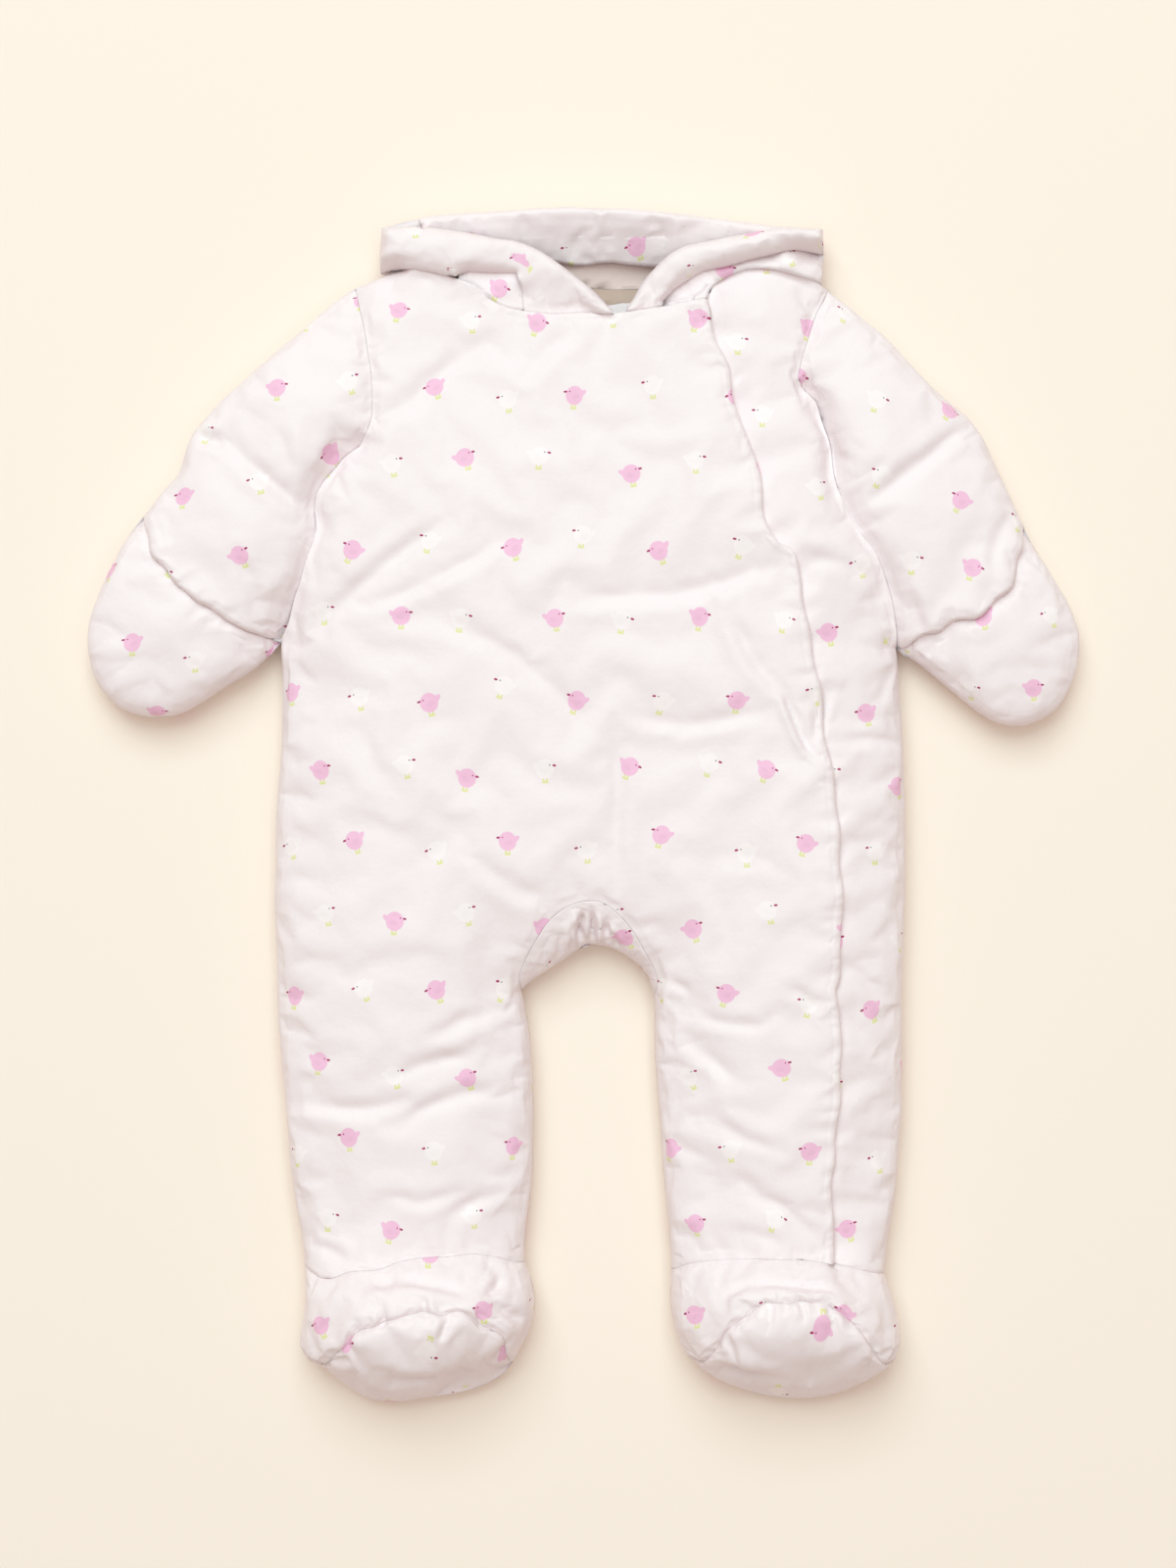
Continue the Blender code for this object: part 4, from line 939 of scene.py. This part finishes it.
def unrolled(spots, side, place, faces_up, grain):
    """Where each spot lies in its cloth, whose rounded sides are laid flat, in metres."""
    reach, tall, power = (TOP_ROUND, TOP_CLIMB, TOP_POWER) if faces_up else (BACK_ROUND, SIDE_SEAM, 2.0)
    steps = np.linspace(0.0, reach, 400)
    rise = np.gradient(tall * rounded(steps / reach, power), steps)
    extra = np.sqrt(1.0 + rise**2) - 1.0
    left = np.cumsum(extra[::-1])[::-1] * (steps[1] - steps[0])
    way = (place - spots) / np.maximum(side, 1e-6)[:, None]
    flat = spots + way * np.interp(side, steps, left, right=0.0)[:, None]
    turn, across, up = grain
    turn = math.radians(turn)
    along = flat @ np.array([[math.cos(turn), -math.sin(turn)], [math.sin(turn), math.cos(turn)]])
    return (along + (across, up)) * METRE


def dress(node, outside, cloth, faces_up=True, cuts=3, grain=(0.0, 0.0, 0.0), hems=(), stitched=(), joins=(),
          edges=None, depth=1.0):
    """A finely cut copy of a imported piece, shaped by its outside surface and the cloth's relief."""
    data, shift = finely_cut(node, outside, depth, faces_up, cuts)
    points = rows(data.vertices, "co", float, 3) / METRE
    corners = rows(data.loops, "vertex_index", int, 1).reshape(-1, 3)
    is_skin = rows(data.attributes["skin"].data, "value", int, 1)[:, 0] > 0
    on_skin = touched(corners[is_skin], len(points))
    rim = on_skin & touched(corners[~is_skin], len(points))
    spots = points[:, :2] + MIDDLE

    sewn, seam_place, _, _ = nearest(list(FINE.values()), spots)
    at_seam = sewn < 2.0 * SEAM_GAP
    outer = rim | ~on_skin
    closed_up(points, spots, seam_place, at_seam & outer, joins, outer)
    names = edges or (OPEN_NAMES if faces_up else FREE_NAMES)
    side, place, _, _ = nearest([FINE[name] for name in names], spots)
    moved = on_skin & ~(rim & (side < RIM_FREE))
    points[moved, 2] = outside(spots[moved])
    points[:, 2] = settled(points, corners[is_skin], nearest_ring(spots, rim))
    for name, drop, width in hems:
        points[moved, 2] -= drop * (1.0 - rounded(distance((name,), spots[moved]) / width))
    for name, inside, dip in stitched:
        points[moved, 2] -= dip * hump(distance((name,), spots[moved]) - inside, STITCH_WIDTH)
    fade = 1.0 - hump(side, RELIEF_FADE)
    stand = np.zeros(len(points))
    stand[moved] = relief(spots[moved]) * depth * fade[moved]
    normals = skin_normals(points, corners[is_skin])
    normals[rim] = (0.0, 0.0, 1.0 if faces_up else -1.0)
    points += normals * stand[:, None]
    points += SIM_SHARE * shift * fade[:, None]
    if faces_up:
        make_room(points, spots, side, ~on_skin, rim, at_seam)
    points[:, :2] += drift(spots)
    points[:, 2] = np.maximum(points[:, 2], 0.0)

    along = unrolled(spots, side, place, faces_up, grain)
    data.vertices.foreach_set("co", (points * METRE).ravel())
    data.uv_layers.new(name="cloth").uv.foreach_set("vector", along[corners.ravel()].ravel())
    data.attributes.remove(data.attributes["skin"])
    data.materials.append(cloth)
    data.shade_smooth()
    data.set_sharp_from_angle(angle=SHARP_ANGLE)
    piece = bpy.data.objects.new(node + "_cloth", data)
    bpy.context.scene.collection.objects.link(piece)
    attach(piece, BODY)
    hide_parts(node)
    return piece


class Wires:
    """Adds shader nodes to a tree and joins them up."""

    def __init__(self, tree):
        self.tree = tree

    def node(self, kind, inputs=(), **settings):
        made = self.tree.nodes.new(kind)
        for key, value in settings.items():
            setattr(made, key, value)
        for at, value in dict(inputs).items():
            socket = made.inputs[at]
            if isinstance(value, bpy.types.NodeSocket):
                self.tree.links.new(value, socket)
            else:
                socket.default_value = value
        return made

    def math(self, operation, *values):
        return self.node("ShaderNodeMath", enumerate(values), operation=operation).outputs[0]

    def vector(self, operation, *values):
        return self.node("ShaderNodeVectorMath", enumerate(values), operation=operation).outputs[0]

    def size(self, value):
        return self.node("ShaderNodeVectorMath", {0: value}, operation="LENGTH").outputs["Value"]

    def split(self, value):
        return self.node("ShaderNodeSeparateXYZ", {0: value}).outputs

    def join(self, x, y):
        return self.node("ShaderNodeCombineXYZ", {0: x, 1: y, 2: 0.0}).outputs[0]

    def blend(self, share, below, above):
        made = self.node("ShaderNodeMix", {"Factor": share}, data_type="RGBA")
        for at, value in ((6, below), (7, above)):
            if isinstance(value, bpy.types.NodeSocket):
                self.tree.links.new(value, made.inputs[at])
            else:
                made.inputs[at].default_value = (*value, 1.0)
        return made.outputs[2]

    def oval(self, where, x, y, wide, tall, turn=0.0):
        """1 inside an oval about (x, y) and 0 outside it, with a soft printed edge."""
        local = self.node(
            "ShaderNodeMapping",
            {"Vector": where, "Location": (x, y, 0.0), "Rotation": (0.0, 0.0, math.radians(turn)),
             "Scale": (wide, tall, 1.0)},
            vector_type="TEXTURE",
        ).outputs[0]
        return self.node(
            "ShaderNodeMapRange",
            {"Value": self.size(local), "From Min": 1.05, "From Max": 0.95, "To Min": 0.0, "To Max": 1.0},
            clamp=True,
        ).outputs[0]


def chick_repeat(wires, where, look):
    """A spot's place in its own chick, in millimetres, and whether that chick is a white one."""
    pitch = look.repeat / METRE
    spread = wires.split(wires.vector("MULTIPLY", where, (1.0 / look.repeat,) * 2 + (0.0,)))
    row = wires.math("FLOOR", spread[1])
    odd_row = wires.math("FLOORED_MODULO", row, 2.0)
    shifted = wires.math("ADD", spread[0], wires.math("MULTIPLY", odd_row, 0.5))
    column = wires.math("FLOOR", shifted)
    cell = wires.join(column, row)
    pair = wires.math("FLOOR", wires.math("MULTIPLY", row, 0.5))
    white = wires.math("FLOORED_MODULO", wires.math("ADD", column, pair), 2.0)
    local = wires.join(wires.math("SUBTRACT", shifted, wires.math("ADD", column, 0.5)),
                       wires.math("SUBTRACT", spread[1], wires.math("ADD", row, 0.5)))
    dice = wires.node("ShaderNodeTexWhiteNoise", {"Vector": cell}, noise_dimensions="2D").outputs["Color"]
    shift = wires.vector("SUBTRACT", dice, (0.5, 0.5, 0.5))
    local = wires.vector("SUBTRACT", wires.vector("MULTIPLY", local, (pitch, pitch, 0.0)),
                         wires.vector("MULTIPLY", shift, (CHICK_SHIFT, CHICK_SHIFT, 0.0)))
    tilt = wires.math("MULTIPLY", wires.split(shift)[2], math.radians(CHICK_TILT))
    turned = wires.node("ShaderNodeVectorRotate", {"Vector": local, "Angle": tilt}, rotation_type="Z_AXIS")
    way = wires.math("SUBTRACT", 1.0, wires.math("MULTIPLY", odd_row, 2.0))
    local = wires.vector("MULTIPLY", turned.outputs[0], wires.join(way, 1.0))
    local = wires.vector("SCALE", local)
    wires.tree.nodes[-1].inputs["Scale"].default_value = 1.0 / look.chick_size
    return local, white


def printed_cotton(look):
    """Pale satin-weave cotton with small pink and white chicks, from the cloth's own UV map."""
    cloth = bpy.data.materials.new("printed cotton")
    cloth.use_nodes = True
    wires = Wires(cloth.node_tree)
    where = wires.node("ShaderNodeUVMap", uv_map="cloth").outputs[0]
    local, white = chick_repeat(wires, where, look)
    pink = tuple(look.chick_pink)
    pale = tuple(look.chick_white)
    body = wires.blend(white, pink, pale)
    wing = wires.blend(white, [PINK_WING * part for part in pink], [WHITE_WING * part for part in pale])
    colour = tuple(look.cotton)
    for x, y, wide, tall, turn in CHICK_FEET:
        colour = wires.blend(wires.oval(local, x, y, wide, tall, turn), colour, tuple(look.chick_feet))
    for x, y, wide, tall, turn in CHICK_BODY:
        colour = wires.blend(wires.oval(local, x, y, wide, tall, turn), colour, body)
    colour = wires.blend(wires.oval(local, *CHICK_WING), colour, wing)
    colour = wires.blend(wires.oval(local, *CHICK_BEAK), colour, tuple(look.chick_beak))
    eye = wires.blend(white, tuple(look.chick_beak), CHICK_GREY)
    colour = wires.blend(wires.oval(local, *CHICK_EYE), colour, eye)
    finish_cloth(wires, where, colour, look)
    return cloth


def plain_cloth(name, colour, look):
    """Unprinted cotton."""
    cloth = bpy.data.materials.new(name)
    cloth.use_nodes = True
    wires = Wires(cloth.node_tree)
    where = wires.node("ShaderNodeUVMap", uv_map="cloth").outputs[0]
    shade = wires.blend(0.0, tuple(colour), tuple(colour))
    finish_cloth(wires, where, shade, look)
    return cloth


def finish_cloth(wires, where, colour, look):
    """Weave, fine crumple and sheen for a cotton of this colour."""
    shader = wires.tree.nodes["Principled BSDF"]
    wires.tree.links.new(colour, shader.inputs["Base Color"])
    shader.inputs["Roughness"].default_value = look.roughness
    shader.inputs["Specular IOR Level"].default_value = SPECULAR
    shader.inputs["Sheen Weight"].default_value = look.sheen
    shader.inputs["Sheen Roughness"].default_value = SHEEN_ROUGH
    shader.inputs["Sheen Tint"].default_value = SHEEN_TINT
    warp, weft = (
        wires.node("ShaderNodeTexWave", {"Vector": where, "Scale": look.threads}, wave_type="BANDS",
                   bands_direction=way).outputs["Fac"]
        for way in "XY"
    )
    weave = wires.math("MULTIPLY", wires.math("ADD", warp, weft), 0.5)
    crumple = wires.node("ShaderNodeTexNoise",
                         {"Vector": where, "Scale": CRUMPLE_SCALE, "Detail": 4.0, "Roughness": 0.55})
    bump = wires.node("ShaderNodeBump", {"Strength": CRUMPLE_SHARE, "Distance": look.crumple,
                                         "Height": crumple.outputs["Fac"]})
    bump = wires.node("ShaderNodeBump", {"Strength": WEAVE_SHARE, "Distance": WEAVE_TALL, "Height": weave,
                                         "Normal": bump.outputs[0]})
    wires.tree.links.new(bump.outputs[0], shader.inputs["Normal"])


def tint(name, description, default):
    """A colour that the sidebar can change."""
    return FloatVectorProperty(name=name, description=description, subtype="COLOR", default=default, min=0.0,
                               max=1.0)


class SnowsuitLook(bpy.types.PropertyGroup):
    """The cloth's colours, print and hand."""

    cotton: tint("Cotton", "Colour of the printed cloth", (0.912, 0.814, 0.82))
    # The neck lining is the same white lining as the hood's, coloured darker and warmer: painted shade for
    # the shadow that the hood's band ends cast on it.
    neck_lining: tint("Neck lining", "Colour of the lining inside the neck", (0.58, 0.43, 0.345))
    lining: tint("Lining", "Colour of the hood's lining", (0.737, 0.59, 0.543))
    chick_pink: tint("Pink chick", "Colour of every other chick", (0.9, 0.535, 0.705))
    chick_white: tint("White chick", "Colour of the chicks between them", (0.95, 0.865, 0.86))
    chick_beak: tint("Beak", "Colour of beaks and pink chicks' eyes", (0.42, 0.05, 0.16))
    chick_feet: tint("Feet", "Colour of the chicks' feet", (0.79, 0.77, 0.38))
    repeat: FloatProperty(name="Repeat", description="Spacing of the chicks", default=0.0395, min=0.02,
                          max=0.2, unit="LENGTH")
    chick_size: FloatProperty(name="Chick size", description="Share of the drawn chick's size", default=0.9,
                              min=0.2, max=3.0)
    roughness: FloatProperty(name="Roughness", description="How matt the cotton is", default=0.55, min=0.0,
                             max=1.0, subtype="FACTOR")
    sheen: FloatProperty(name="Sheen", description="Soft light at the cloth's edges", default=0.25, min=0.0,
                         max=1.0, subtype="FACTOR")
    crumple: FloatProperty(name="Crumple", description="Height of the finest crumpling", default=0.0006,
                           min=0.0, max=0.01, unit="LENGTH")
    threads: FloatProperty(name="Threads", description="Bands of weave, as the wave texture counts them",
                           default=520.0, min=50.0, max=5000.0)


class SnowsuitShape(bpy.types.PropertyGroup):
    """How finely the cloth is cut."""

    cuts: IntProperty(name="Cuts", description="Cuts in each edge of the packed pieces", default=3, min=1,
                      max=6)


class SnowsuitStage(bpy.types.PropertyGroup):
    """Floor, lights and camera."""

    floor: tint("Floor", "Colour of the floor", (0.963, 0.846, 0.742))
    key: FloatProperty(name="Key light", description="Power of the large soft light", default=179.0, min=0.0,
                       unit="POWER")
    fill: FloatProperty(name="Fill light", description="Strength of the light from all round", default=0.455,
                        min=0.0)
    distance: FloatProperty(name="Camera distance", description="Height of the camera above the seams",
                            default=1.5, min=0.3, unit="LENGTH")


class SNOWSUIT_OT_body(bpy.types.Operator):
    """Dress the fronts, the gusset and the back"""

    bl_idname = "snowsuit.body"
    bl_label = "Body"

    def execute(self, context):
        cloth = printed()
        cuts = context.scene.snowsuit_shape.cuts
        dress("front_wrap", wrap_top, cloth, cuts=cuts,
              hems=(("flap", 2.6, 3.5), ("neckline", 0.8, 2.5)), stitched=(("flap", FLAP_STITCH, 0.25),))
        dress("front_side", side_front_top, cloth, cuts=cuts, grain=(3.0, 11.0, 14.0))
        dress("gusset", top, cloth, cuts=cuts + 1, grain=(40.0, 9.0, 3.0))
        dress("back", under, cloth, faces_up=False, cuts=cuts + 2, grain=(0.0, 17.0, 8.0))
        return {"FINISHED"}


class SNOWSUIT_OT_sleeves(bpy.types.Operator):
    """Dress both halves of both sleeves"""

    bl_idname = "snowsuit.sleeves"
    bl_label = "Sleeves"

    def execute(self, context):
        cloth = printed()
        cuts = context.scene.snowsuit_shape.cuts
        for side, turn, sunk in (("right", 14.0, 6.5), ("left", -14.0, 4.0)):
            dress("sleeve_" + side + "_top", top, cloth, cuts=cuts, grain=(turn, 6.0, 9.0),
                  hems=(("cuff_" + side, 2.4, 3.5), ("flank_" + side, sunk, 13.0)))
            dress("sleeve_" + side + "_under", under, cloth, faces_up=False, cuts=cuts + 2,
                  grain=(turn, 0.0, 5.0))
        return {"FINISHED"}


class SNOWSUIT_OT_mittens(bpy.types.Operator):
    """Dress both halves of both mittens"""

    bl_idname = "snowsuit.mittens"
    bl_label = "Mittens"

    def execute(self, context):
        cloth = printed()
        cuts = context.scene.snowsuit_shape.cuts
        for side, turn in (("right", -8.0), ("left", 12.0)):
            dress("mitten_" + side + "_top", mitten_top, cloth, cuts=cuts, grain=(turn, 12.0, 6.0))
            dress("mitten_" + side + "_under", under, cloth, faces_up=False, cuts=cuts + 2,
                  grain=(turn, 3.0, 0.0))
        return {"FINISHED"}


class SNOWSUIT_OT_bootees(bpy.types.Operator):
    """Dress the insteps, heel sides and padded soles"""

    bl_idname = "snowsuit.bootees"
    bl_label = "Bootees"

    def execute(self, context):
        cloth = printed()
        cuts = context.scene.snowsuit_shape.cuts
        for side, outside, turn in (("right", top, 6.0), ("left", boot_left_top, -5.0)):
            dress("boot_" + side + "_top", outside, cloth, cuts=cuts, grain=(turn, 4.0, 2.0))
            dress("boot_" + side + "_under", under, cloth, faces_up=False, cuts=cuts + 2,
                  grain=(turn, 0.0, 0.0))
            dress("boot_" + side + "_sole", sole(side), cloth, cuts=cuts, grain=(172.0 + turn, 7.0, 12.0),
                  edges=("heel_" + side,))
        return {"FINISHED"}


class SNOWSUIT_OT_hood(bpy.types.Operator):
    """Dress the hood's back, printed strip, rolled bands and side pieces"""

    bl_idname = "snowsuit.hood"
    bl_label = "Hood"

    def execute(self, context):
        cloth = printed()
        cuts = context.scene.snowsuit_shape.cuts
        dress("hood_back", hood_under, cloth, faces_up=False, cuts=cuts + 1, edges=HOOD_NAMES)
        dress("hood_facing", facing_top, cloth, cuts=cuts, edges=("crown",), depth=0.6, grain=(0.0, 8.0, 3.0))
        for side, (rolled, sewn), turn in (("right", BAND_RIGHT, 12.0), ("left", BAND_LEFT, -14.0)):
            dress("hood_band_" + side, band(rolled, sewn), cloth, cuts=cuts, edges=rolled, depth=0.8,
                  grain=(turn, 9.0, 13.0), hems=(("roll_" + side, 1.5, 5.0),), joins=BODY_NECK)
            dress("hood_side_" + side, side_piece_top, cloth, cuts=cuts, edges=HOOD_NAMES, depth=0.7,
                  grain=(-turn, 3.0, 4.0), joins=(*BODY_NECK, "band_seam_right", "roll_left"))
        return {"FINISHED"}


class SNOWSUIT_OT_lining(bpy.types.Operator):
    """Dress the white lining in the hood and the back of the neck"""

    bl_idname = "snowsuit.lining"
    bl_label = "Lining"

    def execute(self, context):
        look = context.scene.snowsuit_look
        # The neck lining's darker colour is painted shade, for the shadow of the hood's band ends; the hood's
        # lining keeps the lining's own colour.
        for node, edges, name, colour, below, (width, length, area) in (
            ("hood_lining", HOOD_NAMES, "white lining", look.lining, "hood_back_cloth", HOOD_LINING_CUT),
            ("neck_lining", FREE_NAMES, "neck lining", look.neck_lining, "back_cloth", NECK_LINING_CUT),
        ):
            piece = dress(node, lining(edges), plain_cloth(name, colour, look), joins=("back_neck",),
                          cuts=context.scene.snowsuit_shape.cuts, depth=0.25)
        return {"FINISHED"}


class SNOWSUIT_OT_stage(bpy.types.Operator):
    """Lay the floor, hang the lights and place the camera"""

    bl_idname = "snowsuit.stage"
    bl_label = "Stage"

    def execute(self, context):
        settings = context.scene.snowsuit_stage
        floor_mesh = bmesh.new()
        bmesh.ops.create_grid(floor_mesh, x_segments=1, y_segments=1, size=FLOOR_HALF)
        data = bpy.data.meshes.new("floor")
        floor_mesh.to_mesh(data)
        floor_mesh.free()
        data.transform(Matrix.Translation((0.0, 0.0, FLOOR_LOW)))
        ground = bpy.data.materials.new("floor paper")
        ground.use_nodes = True
        shader = ground.node_tree.nodes["Principled BSDF"]
        shader.inputs["Base Color"].default_value = (*settings.floor, 1.0)
        shader.inputs["Roughness"].default_value = FLOOR_ROUGH
        shader.inputs["Specular IOR Level"].default_value = FLOOR_SPECULAR
        data.materials.append(ground)
        floor = bpy.data.objects.new("floor", data)
        context.scene.collection.objects.link(floor)
        for name, place, size, power in (
            ("key", KEY_PLACE, KEY_SIZE, settings.key),
            ("second", SECOND_PLACE, SECOND_SIZE, settings.key * SECOND_SHARE),
        ):
            lamp = bpy.data.lights.new(name, "AREA")
            lamp.shape = "SQUARE"
            lamp.size = size
            lamp.energy = power
            lamp.color = LIGHT_COLOUR
            light = bpy.data.objects.new(name, lamp)
            light.location = place
            light.rotation_mode = "QUATERNION"
            light.rotation_quaternion = (Vector((0.0, 0.0, 0.0)) - Vector(place)).to_track_quat("-Z", "Y")
            context.scene.collection.objects.link(light)
        sky = bpy.data.worlds.new("soft room")
        sky.use_nodes = True
        backdrop = sky.node_tree.nodes["Background"]
        backdrop.inputs["Color"].default_value = (*FILL_COLOUR, 1.0)
        backdrop.inputs["Strength"].default_value = settings.fill
        context.scene.world = sky
        lens = bpy.data.cameras.new("camera")
        lens.sensor_width = 36.0
        lens.lens = lens.sensor_width * settings.distance / VIEW_LENGTH
        camera = bpy.data.objects.new("camera", lens)
        camera.location = (*VIEW_MIDDLE, settings.distance + SIDE_SEAM * METRE)
        context.scene.collection.objects.link(camera)
        context.scene.camera = camera
        context.scene.view_settings.view_transform = "Standard"
        return {"FINISHED"}


class SNOWSUIT_PT_sidebar(bpy.types.Panel):
    """The snowsuit's settings and pieces"""

    bl_label = "Snowsuit"
    bl_idname = "SNOWSUIT_PT_sidebar"
    bl_space_type = "VIEW_3D"
    bl_region_type = "UI"
    bl_category = "Snowsuit"

    def draw(self, context):
        layout = self.layout
        scene = context.scene
        for group in (scene.snowsuit_look, scene.snowsuit_shape, scene.snowsuit_stage):
            box = layout.box()
            for name in group.__annotations__:
                box.prop(group, name)
        for operator in OPERATORS:
            layout.operator(operator.bl_idname)


def printed():
    """The one printed cloth that every outside piece is cut from."""
    found = bpy.data.materials.get("printed cotton")
    return found or printed_cotton(bpy.context.scene.snowsuit_look)


GROUPS = (SnowsuitLook, SnowsuitShape, SnowsuitStage)
OPERATORS = (
    SNOWSUIT_OT_body, SNOWSUIT_OT_sleeves, SNOWSUIT_OT_mittens, SNOWSUIT_OT_bootees, SNOWSUIT_OT_hood,
    SNOWSUIT_OT_lining, SNOWSUIT_OT_stage,
)


def register():
    for made in (*GROUPS, *OPERATORS, SNOWSUIT_PT_sidebar):
        bpy.utils.register_class(made)
    bpy.types.Scene.snowsuit_look = PointerProperty(type=SnowsuitLook)
    bpy.types.Scene.snowsuit_shape = PointerProperty(type=SnowsuitShape)
    bpy.types.Scene.snowsuit_stage = PointerProperty(type=SnowsuitStage)


def unregister():
    del bpy.types.Scene.snowsuit_stage
    del bpy.types.Scene.snowsuit_shape
    del bpy.types.Scene.snowsuit_look
    for made in (SNOWSUIT_PT_sidebar, *reversed(OPERATORS), *reversed(GROUPS)):
        bpy.utils.unregister_class(made)


def main():
    register()
    bpy.ops.snowsuit.body()
    bpy.ops.snowsuit.sleeves()
    bpy.ops.snowsuit.mittens()
    bpy.ops.snowsuit.bootees()
    bpy.ops.snowsuit.hood()
    bpy.ops.snowsuit.lining()
    bpy.ops.snowsuit.stage()


if __name__ == "__main__":
    main()
